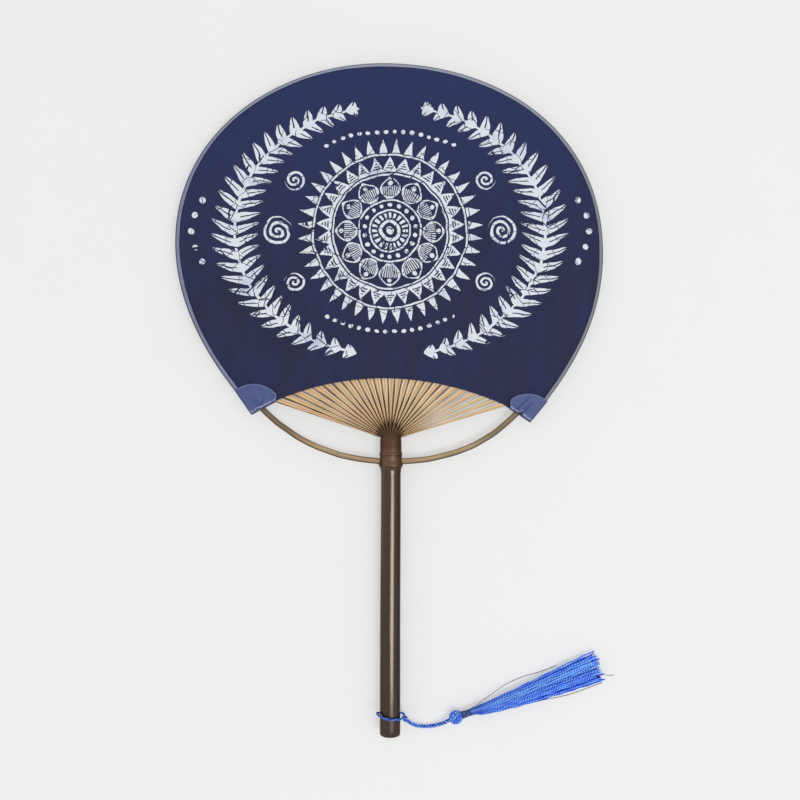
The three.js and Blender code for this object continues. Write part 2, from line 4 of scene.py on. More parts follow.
import bmesh
import bpy
import numpy as np
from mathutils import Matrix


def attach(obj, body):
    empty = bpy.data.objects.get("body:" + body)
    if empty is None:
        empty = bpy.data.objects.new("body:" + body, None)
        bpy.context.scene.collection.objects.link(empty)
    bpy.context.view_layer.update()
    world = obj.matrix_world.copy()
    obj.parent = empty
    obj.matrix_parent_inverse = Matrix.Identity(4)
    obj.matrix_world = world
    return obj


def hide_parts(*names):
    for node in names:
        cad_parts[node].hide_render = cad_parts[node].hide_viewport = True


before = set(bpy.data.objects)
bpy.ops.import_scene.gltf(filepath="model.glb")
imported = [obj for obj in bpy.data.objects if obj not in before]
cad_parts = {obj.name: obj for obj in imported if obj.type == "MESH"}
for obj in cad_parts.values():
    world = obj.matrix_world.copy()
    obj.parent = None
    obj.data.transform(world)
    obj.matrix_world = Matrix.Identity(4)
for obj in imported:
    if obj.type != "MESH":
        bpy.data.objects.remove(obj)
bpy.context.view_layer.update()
rng = np.random.default_rng(11)

# Sizes are in millimetres and fan coordinates: Y from the handle's end, Z from the handle's axis
MM = 0.001
TURN = 2 * math.pi
FAN_LENGTH = 404.0
AXIS_HEIGHT = 7.1  # of the handle's axis over the table

# Leaf outline
CROWN = {"offset": -4.3, "round_left": 63.7, "round_right": 68.8}
LEFT_SIDE = {"x": -129.2, "height": 296.4, "round_above": 66.1, "round_below": 42.3}
RIGHT_SIDE = {"x": 128.1, "height": 289.6, "round_above": 75.8, "round_below": 43.0}
LEFT_CORNER = {"point": (-82.2, 193.9), "flank_angle": 132.1, "flank_round": 32.7}
RIGHT_CORNER = {"point": (84.5, 188.5), "flank_angle": 50.9, "flank_round": 35.6}
ARCH_APEX = (0.0, 214.5)
LEFT_ARCH_END = (-66.0, 202.2)
RIGHT_ARCH_END = (67.8, 199.0)
RIM_STEPS_PER_CURVE = 90

# Layers of the leaf
CLOTH_OUTER = 1.4  # height of the front cloth's face above the leaf's middle plane
CLOTH_THICKNESS = 0.28
CLOTH_INSET = 0.4
CLOTH_SAG = 0.3  # depth of the cloth between two ribs
CLOTH_ROWS = 110
CLOTH_LEAST_LENGTH = 0.6  # of a column of the cloth
COLUMNS_PER_RIB = 12
CORNER_COLUMNS = 26
TAPE_WIDTH = 2.4
# How much narrower the tape is, against shares of the way along the rim from the left corner
TAPE_NARROWING = (
    (0.0, -0.1), (0.2, -0.25), (0.36, 0.65), (0.5, 0.3), (0.64, 0.25), (0.8, 0.25), (1.0, 0.3),
)
TAPE_THICKNESS = 0.28
TAPE_OUTER = 1.8
PATCH_OUTER = 2.25
PATCH_EDGE = 0.4  # how far a patch's fold stands out past the leaf's edge
PATCH_THICKNESS = 0.3
# Radii of a patch from its corner: along the rim, in the middle, along the arch
LEFT_PATCH = {
    "corner": (-83.3, 192.9), "flank_angle": 124.4, "radii": (17.4, 18.6, 19.6),
    "rounding": 2.8, "round_from": 0.84, "tip": (0.0, 0.0), "notch": 0.9,
}
RIGHT_PATCH = {
    "corner": (84.5, 188.5), "flank_angle": 50.9, "radii": (15.9, 17.0, 19.0),
    "rounding": 4.2, "round_from": 0.74, "tip": (-0.2, -0.2), "notch": 2.9,
}
PATCH_RAYS = 60
PATCH_WRAP_STEPS = 9
PATCH_STEPS = 44
NOTCH_ASIDE = 2.1  # from the bow to the notch in a patch's lower edge
NOTCH_WIDTH = 1.3

# Ribs
RIB_COUNT = 27
MIDDLE_RIB = (RIB_COUNT - 1) / 2
RIB_SPREAD = 71.0
RIB_CROWDING = 0.207
RIB_LEAN = 1.2
RIB_CENTRE = np.array((0.0, 177.1))
RIB_START = 3.0  # from the centre to a rib's root, inside the culm
RIB_ROOT_HEIGHT = 3.8  # of the roots before and behind the leaf's plane
RIB_THICKNESS = 1.0
RIB_DEEP_THICKNESS = 2.0  # where the ribs have just left the culm
RIB_FILL = 0.985
RIB_LOOSE_FILL = 0.68  # of the ribs at the right, which stand apart
RIB_MEET = (8.0, 14.0)  # from the centre to where two rows of ribs become one
RIB_FLAT_LENGTH = 17.0  # from the centre to where all ribs lie in one plane
RIB_TIP_INSET = 4.0
RIB_SKIN = (4.5, 9.5)  # how far from the centre the culm's dark skin goes, on side and middle ribs
RIB_SKIN_FADE = 5.0
THREAD_RADIUS = 0.2
THREAD_LEVEL = 0.8  # of the spacing thread before and behind the leaf's plane
THREAD_ABOVE_ARCH = 7.0
THREAD_CLEARANCE = 0.105  # beside a rib
TIE_SHARE = 0.96  # how far along each arm of the bow the thread is tied
TIE_ABOVE_BOW = 1.9

# Bow
BOW_HEIGHT = 164.5
BOW_OFFSET = 2.1
BOW_RADIUS = 113.6
BOW_REACH = 81.0
BOW_ANGLE = math.asin(BOW_REACH / BOW_RADIUS)
BOW_RISE = BOW_RADIUS - math.sqrt(BOW_RADIUS ** 2 - BOW_REACH ** 2)
BOW_FLATTENING = 1.08  # above 1 its middle is flatter than an arc
BOW_RIGHT_LIFT = 2.2  # how far its right tip stands above the arc
BOW_WIDTH = 3.6
BOW_TIP_WIDTH = 3.4
BOW_THICKNESS = 2.9
BOW_TIP_THICKNESS = 1.8
BOW_HOLE_GAP = 0.15

# Handle: height and radius along its outside
CULM_PROFILE = [
    (0.9, 6.2), (20, 6.18), (80, 6.08), (140, 5.98), (157.0, 5.92), (159.6, 6.05), (161.2, 6.55),
    (162.1, 7.08), (162.8, 7.08), (163.6, 6.7), (165.0, 6.5), (168.0, 6.46), (168.7, 6.72),
    (169.3, 6.78), (169.8, 6.5), (170.4, 6.3), (173.0, 6.2), (176.5, 6.2), (178.2, 6.1),
    (179.8, 5.65), (181.3, 4.75), (182.5, 3.6),
]
CULM_BOTTOM = CULM_PROFILE[0][0]
CULM_TOP = CULM_PROFILE[-1][0]
CULM_NODE = (156, 171)  # the stretch with the node's two rings
CULM_SHADE_LINES = (161.5, 168.2)  # heights of the painted shade lines under the rings
CULM_LEAN = 0.45  # how far the culm's split end stands to the right
CULM_FLATNESS = 0.03  # how much wider than high the culm is from its node on
CULM_BORE = 3.2
CULM_FLOOR = 172.0  # of the bore above the node
CULM_SIDES = 72
AXIS = 0.02  # radius of a ring that closes a round body on its axis
PLUG_RADIUS = 3.05
PLUG_LENGTH = 9.0
PLUG_RECESS = 0.4
PLUG_SIDES = 40
CORD_HOLE_HEIGHT = 13.0
CORD_HOLE_RADIUS = 1.0

# Cords and tassel
LOOP_DIAMETER = 1.4
TASSEL_CORD_DIAMETER = 2.3
STRAND_STEP = 0.16  # between two rings of a strand
KNOT_CENTRE = (8.8, 9.9, 0.6)
KNOT_SIZE = 1.25
KNOT_CORD_RADIUS = 0.72
KNOB_CENTRE = (39.9, 9.3, -2.9)
LOOP_ROUTE = [
    (8.8, 10.9, 0.6), (8.6, 12.1, 0.4), (7.6, 12.9, 0.1), (6.0, 13.0, 0), (0, 13.0, 0), (-6.2, 13.0, 0),
    (-7.6, 13.4, 1.2), (-7.4, 13.3, 3.3), (-5.3, 12.7, 5.6), (-2.4, 12.0, 7.0), (1.0, 11.5, 7.25),
    (4.3, 11.2, 6.2), (6.8, 11.0, 4.6), (8.3, 10.6, 2.8), (8.7, 10.1, 1.6),
]
TASSEL_CORD_ROUTE = [
    (8.9, 9.7, 0.5), (10.0, 8.4, -0.4), (11.6, 6.7, -1.7), (13.6, 4.9, -3.3), (16.0, 3.6, -4.7),
    (18.8, 2.9, -5.5), (21.8, 2.7, -5.8), (24.8, 2.9, -5.7), (27.6, 3.6, -5.2), (30.4, 4.6, -4.4),
    (33.0, 5.9, -3.6), (35.3, 7.2, -3.3), (37.0, 8.0, -3.0),
]
KNOB_HALF_LENGTH = 4.7
KNOB_RADIUS = 4.1
KNOB_STRANDS = 11
KNOB_STRAND_RADIUS = 0.9
NECK_START = 3.9
NECK_LENGTH = 8.4
NECK_RADIUS = 2.6
NECK_WAIST = 0.5  # how much thinner the neck is in its middle
NECK_TURNS = 9
NECK_THREAD_RADIUS = 0.46
SKIRT_START = 12.3
SKIRT_LENGTH = 78.0
SKIRT_END_WIDTH = 18.6
SKIRT_END_HEIGHT = 5.8
SKIRT_BELLY = 0.8
SKIRT_FLARE = 0.75
SKIRT_SAG = 1.1  # how far the skirt hangs below a straight line in the picture
SKIRT_FLOOR = -4.1  # of the table, from the knob's centre
SKIRT_STRANDS = 150
SKIRT_STEPS = 52
STRAY_LEVEL = SKIRT_FLOOR + 0.25  # of a stray strand that lies on the table
TASSEL_DIRECTION = math.radians(19.3)


# Shapes
def to_row(points):
    """Fan coordinates in millimetres to the row frame in metres."""
    return (np.asarray(points, float) + (0, -FAN_LENGTH / 2, AXIS_HEIGHT)) * MM


def smoothstep(value, low, high):
    share = np.clip((value - low) / (high - low), 0, 1)
    return share * share * (3 - 2 * share)


def lerp(a, b, share):
    return a + (b - a) * share


def hump(offset, width):
    return np.exp(-(offset / width) ** 2)


def unit(vectors):
    return vectors / np.linalg.norm(vectors, axis=-1, keepdims=True)


def direction(angle):
    return np.array((math.cos(angle), math.sin(angle)))


def circle(sides):
    return TURN * np.arange(sides) / sides


def bezier(controls, count):
    """Points of a Bezier curve through its first and last control points."""
    share = np.linspace(0, 1, count)[:, None]
    level = [np.asarray(point, float)[None, :] for point in controls]
    while len(level) > 1:
        level = [lerp(a, b, share) for a, b in zip(level, level[1:])]
    return level[0]


def travel_of(points):
    """How far each point lies along a line."""
    return np.concatenate([[0], np.cumsum(np.linalg.norm(np.diff(points, axis=0), axis=1))])


def length_of(points):
    return float(travel_of(points)[-1])


def resample(points, count):
    """Points at equal steps along a smooth line through the given points."""
    points = np.asarray(points, float)
    ends = np.vstack([2 * points[0] - points[1], points, 2 * points[-1] - points[-2]])
    t = np.linspace(0, 1, 24, endpoint=False)[:, None]
    fine = []
    for before, a, b, after in zip(ends, ends[1:], ends[2:], ends[3:]):
        slope_a, slope_b = (b - before) / 2, (after - a) / 2
        eased = lerp(a, b, smoothstep(t, 0, 1))
        fine.append(eased + slope_a * t * (1 - t) ** 2 - slope_b * t * t * (1 - t))
    fine = np.vstack([*fine, points[-1:]])
    travel = travel_of(fine)
    steps = np.linspace(0, travel[-1], count)
    return np.stack([np.interp(steps, travel, values) for values in fine.T], axis=1)


def frames(points):
    """Two directions square to a line at each of its points, turning as little as they can."""
    tangents = unit(np.gradient(points, axis=0))
    side = np.cross(tangents[0], (0.0, 0.0, 1.0))
    if np.linalg.norm(side) < 0.1:
        side = np.cross(tangents[0], (0.0, 1.0, 0.0))
    sides = []
    for tangent in tangents:
        side = unit(side - tangent * side.dot(tangent))
        sides.append(side)
    sides = np.array(sides)
    return sides, np.cross(tangents, sides)


def turned(profile, sides):
    """Rings of a round body on the handle's axis, from its heights and radii."""
    heights, radii = np.transpose(profile)[..., None]
    angle = circle(sides)
    return np.stack([radii * np.cos(angle), heights + 0 * angle, radii * np.sin(angle)], axis=-1)


class Shape:
    """Points, faces and point attributes of one mesh, collected body by body."""

    def __init__(self):
        self.points = []
        self.faces = []
        self.attributes = {}
        self.count = 0

    def sweep(self, rings, closed=True, capped=True, **attributes):
        """A skin over rings of equally many points, in fan coordinates."""
        rings = np.asarray(rings, float)
        stations, around = rings.shape[:2]
        index = self.count + np.arange(stations * around).reshape(stations, around)
        after = np.roll(index, -1, axis=1)
        last = around if closed else around - 1
        a, b = index[:-1, :last], after[:-1, :last]
        c, d = after[1:, :last], index[1:, :last]
        self.faces += np.stack([a, b, c, d], axis=-1).reshape(-1, 4).tolist()
        if closed and capped:
            self.faces += [index[0, ::-1].tolist(), index[-1].tolist()]
        self.points.append(rings.reshape(-1, 3))
        self.count += stations * around
        for name, values in attributes.items():
            spread = np.broadcast_to(np.asarray(values, float), (stations, around)).ravel()
            self.attributes.setdefault(name, []).append(spread)
        return self

    def tube(self, line, radii, sides, wound_on=None, crest=1.0, **attributes):
        """A tube along a line. Where it is wound on a core, its crest faces away from the core."""
        line = np.asarray(line, float)
        across, up = frames(line)
        angle = circle(sides)[None, :, None]
        radius = np.broadcast_to(np.asarray(radii, float).reshape(-1, 1, 1), (len(line), 1, 1))
        outwards = np.cos(angle) * across[:, None, :] + np.sin(angle) * up[:, None, :]
        if wound_on is not None:
            # Yarn is painted in shade away from this crest.
            away = unit(line - wound_on)
            crest = smoothstep((outwards * away[:, None, :]).sum(axis=2), 0.15, 1.0)
        return self.sweep(
            line[:, None, :] + radius * outwards, crest=crest, along=travel_of(line)[:, None],
            around=circle(sides) / TURN, **attributes,
        )

    def build(self, name, sharp_angle=40):
        mesh = bpy.data.meshes.new(name)
        mesh.from_pydata(to_row(np.vstack(self.points)), [], self.faces)
        for key, values in self.attributes.items():
            layer = mesh.attributes.new(key, "FLOAT", "POINT")
            layer.data.foreach_set("value", np.concatenate(values).astype(np.float32))
        face_outwards(mesh)
        smooth(mesh, sharp_angle)
        return add_object(name, mesh)


def add_object(name, data):
    obj = bpy.data.objects.new(name, data)
    bpy.context.scene.collection.objects.link(obj)
    return obj


def face_outwards(mesh):
    work = bmesh.new()
    work.from_mesh(mesh)
    bmesh.ops.recalc_face_normals(work, faces=work.faces)
    work.to_mesh(mesh)
    work.free()


def smooth(mesh, sharp_angle):
    mesh.shade_smooth()
    mesh.set_sharp_from_angle(angle=math.radians(sharp_angle))


def thicken(obj, thickness, face, up):
    """Gives a sheet its thickness behind its outer side, where the given face looks up, or down for -1."""
    if obj.data.polygons[face].normal.z * up < 0:
        obj.data.flip_normals()
    solid = obj.modifiers.new("thickness", "SOLIDIFY")
    solid.thickness = thickness * MM
    solid.offset = -1


def cut(obj, tool):
    """Takes a tool's body out of an object's mesh, and removes the tool."""
    step = obj.modifiers.new("cut", "BOOLEAN")
    step.operation = "DIFFERENCE"
    step.solver = "EXACT"
    step.object = tool
    made = bpy.data.meshes.new_from_object(obj.evaluated_get(bpy.context.evaluated_depsgraph_get()))
    obj.modifiers.clear()
    obj.data = made
    bpy.data.objects.remove(tool)


def add_piece(obj, material, body, node):
    obj.data.materials.clear()
    obj.data.materials.append(material)
    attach(obj, body)
    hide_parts(node)
    return obj


# Materials
def connect(tree, source, target):
    """Feeds a node's input from a field, another node's output or a plain value."""
    if isinstance(source, Field):
        source = source.socket
    if isinstance(source, bpy.types.NodeSocket):
        tree.links.new(source, target)
    else:
        target.default_value = source


def add_node(tree, kind, inputs, **properties):
    made = tree.nodes.new(kind)
    for key, value in properties.items():
        setattr(made, key, value)
    for key, value in inputs.items():
        connect(tree, value, made.inputs[key])
    return made


class Field:
    """What varies over a surface: an output of a material's nodes. As a number, true is 1 and false is 0."""

    def __init__(self, tree, socket):
        self.tree = tree
        self.socket = socket

    def compute(self, operation, *others):
        inputs = dict(enumerate((self, *others)))
        node = add_node(self.tree, "ShaderNodeMath", inputs, operation=operation)
        return Field(self.tree, node.outputs[0])

    __add__ = partialmethod(compute, "ADD")
    __sub__ = partialmethod(compute, "SUBTRACT")
    __mul__ = partialmethod(compute, "MULTIPLY")
    __truediv__ = partialmethod(compute, "DIVIDE")
    __pow__ = partialmethod(compute, "POWER")
    __lt__ = partialmethod(compute, "LESS_THAN")
    __gt__ = partialmethod(compute, "GREATER_THAN")
    __and__ = partialmethod(compute, "MULTIPLY")
    __or__ = partialmethod(compute, "MAXIMUM")
    __abs__ = partialmethod(compute, "ABSOLUTE")
    fract = partialmethod(compute, "FRACT")
    sine = partialmethod(compute, "SINE")
    root = partialmethod(compute, "SQRT")
    atan2 = partialmethod(compute, "ARCTAN2")

    def __invert__(self):
        return (self * -1) + 1

    def clamp(self, low, high):
        return (self | low).compute("MINIMUM", high)

    def between(self, low, high):
        return (self > low) & (self < high)

    def wave(self, pitch):
        return (self * (TURN / pitch)).sine() * 0.5 + 0.5

    def ease(self, low, high):
        inputs = {"Value": self, "From Min": low, "From Max": high}
        node = add_node(self.tree, "ShaderNodeMapRange", inputs, interpolation_type="SMOOTHSTEP")
        return Field(self.tree, node.outputs["Result"])


class Surface:
    """A material and its nodes, painted in coats. Lengths in its patterns are millimetres."""

    def __init__(self, name, paint, **settings):
        self.material = bpy.data.materials.new(name)
        self.material.use_nodes = True
        self.tree = self.material.node_tree
        self.shader = self.tree.nodes["Principled BSDF"]
        self.paint = paint
        self.set(**settings)

    def set(self, **settings):
        """Feeds inputs of the material's shader."""
        for key, value in settings.items():
            name = key.replace("_", " ").title().replace("Ior", "IOR")
            connect(self.tree, value, self.shader.inputs[name])

    def output(self, name, kind, inputs, **properties):
        return Field(self.tree, add_node(self.tree, kind, inputs, **properties).outputs[name])

    def attribute(self, name):
        return self.output("Fac", "ShaderNodeAttribute", {}, attribute_name=name)

    def place(self):
        """Row-frame X, Y and Z in millimetres."""
        spot = self.output("Object", "ShaderNodeTexCoord", {})
        split = add_node(self.tree, "ShaderNodeSeparateXYZ", {0: spot})
        return [Field(self.tree, output) / MM for output in split.outputs]

    def vector(self, parts):
        return self.output(0, "ShaderNodeCombineXYZ", dict(enumerate(parts)))

    def noise(self, place, scale, detail=2.0, roughness=0.5):
        inputs = {"Vector": self.vector(place), "Scale": scale, "Detail": detail, "Roughness": roughness}
        return self.output("Fac", "ShaderNodeTexNoise", inputs)

    def cells(self, place, scale, feature="DISTANCE_TO_EDGE"):
        inputs = {"Vector": self.vector(place), "Scale": scale}
        return self.output("Distance", "ShaderNodeTexVoronoi", inputs, feature=feature)

    def mix(self, share, first, second):
        first, second = ((*color, 1) if isinstance(color, tuple) else color for color in (first, second))
        return self.output(2, "ShaderNodeMix", {0: share, 6: first, 7: second}, data_type="RGBA")

    def coat(self, share, color):
        """Mixes a share of a colour into the paint."""
        self.paint = self.mix(share, self.paint, color)

    def finish(self, roughness, height, depth):
        """The painted material with a relief, where a height of 1 stands out by a depth."""
        relief = self.output("Normal", "ShaderNodeBump", {"Distance": depth * MM, "Height": height})
        self.set(base_color=self.paint, roughness=roughness, normal=relief)
        return self.material


INDIGO = (0.0258, 0.027, 0.0635)
INDIGO_BRIGHT = (0.0245, 0.037, 0.118)
INDIGO_DEEP = (0.0187, 0.0202, 0.047)
WAX_WHITE = (0.74, 0.78, 0.83)
WAX_STAINED = (0.36, 0.44, 0.66)

# Print: distances from its centre, before it is scaled
PRINT_CENTRE = (0.0, 101.0)  # row frame
PRINT_SCALE = 1.06
PRINT_WOBBLE = 3.0
PRINT_HEART = 2.4
PRINT_RINGS = ((4.3, 6.0), (11.0, 12.0), (17.0, 18.0), (32.0, 32.9), (33.7, 35.0), (43.0, 44.0))
PRINT_SPOKES = (7.0, 10.2)
PRINT_BEADS = 14.6
PRINT_PETALS = (18.6, 31.2)
PRINT_TEETH = (35.0, 42.4)
PRINT_RAYS = (44.6, 52.6)
PRINT_OUTER_BEADS = 56.6
PRINT_WREATH = 71.0
PRINT_WREATH_WIDTH = 1.24  # against its height
PRINT_LEAF_LENGTH = 11.5
PRINT_SIDE_DOTS = ((113.0, 0.0), (111.0, 9.0), (106.5, 17.5))


def weave(x, y, pitch):
    return ((x * (TURN / pitch)).sine() * (y * (TURN / pitch)).sine()) * 0.5 + 0.5


def distance(x, y):
    return (x * x + y * y).root()


def scroll(x, y, size, pitch):
    radius = distance(x, y)
    return ((radius / pitch - y.atan2(x) / TURN).fract() < 0.46) & (radius < size)


def batik_print(surface, x, y):
    """A round flower of rings, petals and rays inside a wreath of leaves, with scrolls at its sides."""
    wobble_x = surface.noise((x, y, 0.0), 0.09, 2.0) - 0.5
    wobble_y = surface.noise((y, x, 40.0), 0.09, 2.0) - 0.5
    x = (x - PRINT_CENTRE[0] + wobble_x * PRINT_WOBBLE) / PRINT_SCALE
    y = (y - PRINT_CENTRE[1] + wobble_y * PRINT_WOBBLE) / PRINT_SCALE
    radius = distance(x, y)
    turn = x.atan2(y) / TURN

    def sector(count, phase=0.5):
        return (turn * count + phase).fract() - 0.5

    white = radius < PRINT_HEART
    for low, high in PRINT_RINGS:
        white |= radius.between(low, high)
    white |= radius.between(*PRINT_SPOKES) & (abs(sector(20)) < 0.27)
    white |= distance(sector(18) * (TURN * PRINT_BEADS / 18), radius - PRINT_BEADS) < 1.2

    petal = sector(12)
    low, high = PRINT_PETALS
    edge = (((radius - low) / (high - low) * 0.86 + 0.12) * math.pi).sine() * 0.47
    inside = (abs(petal) < edge) & radius.between(low, high)
    hollow = (abs(petal) < edge - 0.07) & radius.between(low + 1.0, high - 1.4)
    stripes = (abs((petal * 11.0 + 0.5).fract() - 0.5) < 0.24) & (radius < high - 5.2)
    seed = distance(petal * 14.5, radius - (high - 3.6)) < 1.35
    white |= inside & (~hollow | stripes | seed)

    tooth = abs(sector(30)) * 2.0
    low, high = PRINT_TEETH
    climb = (radius - low) / (high - low)
    teeth = (climb < ~tooth) & radius.between(low, high)
    core = (climb < ~tooth - 0.34) & radius.between(low + 0.6, high)
    white |= teeth & (~core | ((radius / 1.45).fract() < 0.5))
    low, high = PRINT_RAYS
    ray = ~((radius - low) / (high - low))
    white |= (abs(sector(40, 0.0)) < ray * 0.34) & radius.between(low, high)

    wide = abs(x) / PRINT_WREATH_WIDTH
    oval = distance(wide, y)
    climb = wide.atan2(y * -1.0) / math.pi
    aside = abs(oval - PRINT_WREATH)
    taper = (((climb - 0.05) / 0.92) * math.pi).sine().clamp(0.0, 1.0) ** 0.5
    leaf_length = taper * PRINT_LEAF_LENGTH
    leaf = (climb * 31.0 - aside * 0.075).fract() - 0.5
    reach = (aside / (leaf_length + 0.01)).clamp(0.0, 1.0)
    blade = (abs(leaf) < ~(reach ** 2.0) * 0.36) & (aside < leaf_length)
    vein = (abs(leaf) < 0.045) & (aside > 2.0)
    white |= climb.between(0.07, 0.937) & ((aside < 0.6) | (blade & ~vein))

    bead = ((climb * 44.0).fract() - 0.5) * (math.pi * 56.0 / 44.0)
    white |= (distance(bead, oval - PRINT_OUTER_BEADS) < 1.05) & (wide < 30.0)
    white |= scroll(abs(x) - 63.5, y, 8.4, 3.4)
    white |= scroll(abs(x) - 54.0, abs(y) - 29.0, 5.8, 2.9)
    for dot_x, dot_y in PRINT_SIDE_DOTS:
        white |= distance(abs(x) - dot_x, abs(y) - dot_y) < 1.7
    return white


def coat_with_print(surface, x, y):
    """White that the wax has kept, stained and cracked."""
    grit = surface.noise((x, y, 0.0), 1.1, 4.0, 0.7)
    stain = surface.noise((x, y, 0.0), 0.05, 3.0, 0.6)
    crack = surface.cells((x + stain * 9.0, y + grit * 0.8, 0.0), 0.13) < 0.022
    white = batik_print(surface, x, y) & (grit > 0.33) & ~(crack & (stain > 0.42))
    dirt = stain.ease(0.5, 0.78) * 0.7 + (grit.ease(0.35, 0.5) * -0.3 + 0.3)
    surface.coat(white, surface.mix(dirt, WAX_WHITE, WAX_STAINED))


def cloth_material(name, printed):
    """Dyed cotton: uneven indigo with a few pale specks, and the print on the front."""
    surface = Surface(name, INDIGO, specular_ior_level=0.15)
    x, y, _ = surface.place()
    tone = surface.noise((x, y, 0.0), 0.012, 3.0)
    slub = surface.noise((x * 0.1, y * 1.6, 0.0), 1.0, 2.0)
    patchy = surface.noise((x, y * 0.25, 9.0), 0.1, 4.0, 0.6)
    specks = surface.noise((x, y, 0.0), 0.8, 2.0)
    threads = weave(x, y, 0.62)
    surface.coat(y.ease(60.0, 200.0) * 0.75, INDIGO_BRIGHT)
    surface.coat(tone.ease(0.45, 0.75) * 0.6, INDIGO_DEEP)
    surface.coat((slub - 0.5) * 0.35 + threads * 0.12, INDIGO_BRIGHT)
    surface.coat(patchy.ease(0.38, 0.7) * 0.4, INDIGO_BRIGHT)
    surface.coat(specks.ease(0.72, 0.8) * 0.12, WAX_STAINED)
    if printed:
        coat_with_print(surface, x, y)
    return surface.finish(slub * 0.2 + 0.72, threads + slub * 0.8, 0.05)


def tape_material():
    """Satin tape: slanted ribbing, lavender at the left, greyer at the right, with painted shade along its
    folded edge, darker and wider at the left.
    """
    surface = Surface("rim_tape_satin", (0.17, 0.185, 0.31), specular_ior_level=0.3)
    x, y, _ = surface.place()
    along, across, fold = map(surface.attribute, ("along", "around", "fold"))
    threads = along.wave(0.55)
    wear = surface.noise((along, across * 6.0, 0.0), 0.25, 3.0)
    ribbing = (along / 2.1 + across * 9.0).fract() < 0.3
    surface.coat(wear, (0.27, 0.295, 0.43))
    surface.coat(threads * 0.25, (0.10, 0.11, 0.18))
    surface.coat(x.ease(20.0, 110.0) * 0.7, (0.235, 0.24, 0.255))
    surface.coat(y.ease(130.0, 195.0) * 0.45, (0.42, 0.44, 0.52))
    surface.coat(ribbing * 0.25, (0.085, 0.09, 0.12))
    # Painted shade along the folded edge, darker and wider at the left.
    surface.coat(fold ** (x.ease(-115.0, 0.0) * 0.65 + 0.35), (0.032, 0.033, 0.040))
    return surface.finish(wear * 0.3 + 0.35, threads * 0.5 + wear, 0.05)


def patch_material():
    """Sized cloth: slate blue with a soft shine, paler along its round edge, with a painted highlight just
    inside its lower edge and painted shade in its folds.
    """
    surface = Surface("patch_sized_cloth", (0.052, 0.074, 0.205), specular_ior_level=0.35)
    x, y, z = surface.place()
    edge, fold, hem = map(surface.attribute, ("edge", "fold", "hem"))
    wear = surface.noise((x, y, z), 0.35, 4.0)
    highlight_spots = surface.noise((x, y, z), 0.9, 2.0).ease(0.3, 0.55)
    threads = weave(x + y * 0.3, y - x * 0.3, 0.5)
    surface.coat(wear, (0.076, 0.104, 0.265))
    surface.coat(threads * 0.2, (0.038, 0.052, 0.16))
    surface.coat(edge * 0.6, (0.19, 0.225, 0.37))
    # A painted highlight just inside the lower edge, broken into spots, and painted shade in the folds.
    surface.coat(hem * highlight_spots * 0.8, (0.50, 0.52, 0.74))
    surface.coat(fold * 0.85, (0.016, 0.017, 0.036))
    return surface.finish(wear * 0.2 + 0.24, threads * 0.6 + wear * 1.5, 0.07)


def culm_material():
    """Smoked bamboo skin under lacquer: dark below, brown and duller about the node, streaked along it, with
    painted shade in lines under the rings and along its flanks.
    """
    surface = Surface("smoked_bamboo", (0.008, 0.003, 0.002), specular_tint=(1.0, 0.82, 0.66, 1.0))
    x, y, z = surface.place()
    streak = surface.noise((x * 1.6, y * 0.03, z * 1.6), 1.0, 4.0, 0.6)
    fine = surface.noise((x * 7.0, y * 0.05, z * 7.0), 1.0, 2.0)
    blotch = surface.noise((x * 0.2, y * 0.05, z * 0.2), 1.0, 3.0)
    height = y + FAN_LENGTH / 2
    surface.coat(height.ease(70.0, 158.0), (0.026, 0.010, 0.005))
    surface.coat(height.ease(159.0, 163.0), (0.135, 0.068, 0.038))
    surface.coat(height.ease(169.0, 173.0), (0.100, 0.049, 0.027))
    surface.coat(streak.ease(0.35, 0.75) * 0.35, (0.040, 0.017, 0.009))
    surface.coat(fine.ease(0.5, 0.8) * 0.5, (0.009, 0.004, 0.003))
    surface.coat(blotch.ease(0.55, 0.8) * 0.4, (0.014, 0.008, 0.006))
    # Painted shade: dark lines under the node's two rings.
    for shade_line in CULM_SHADE_LINES:
        near = ~abs(height - shade_line + (blotch - 0.5) * 0.8).ease(0.15, 0.6)
        surface.coat(near * 0.8, (0.012, 0.006, 0.004))
    # Painted shade: the culm is darker along its flanks, which also keep less gloss.
    flank = abs(x).ease(3.4, 5.4)
    surface.coat(flank * 0.45, (0.006, 0.003, 0.002))
    dull = height.ease(158.0, 164.0)
    split = height.ease(170.0, 174.0)
    gloss = (~dull * 0.45 + ~split * 0.3 + 0.25) * (~flank * 0.85 + 0.15)
    surface.set(specular_ior_level=gloss)
    return surface.finish(dull * 0.12 + split * 0.2 + streak * 0.1 + 0.10, streak * 0.6 + fine * 0.4, 0.05)


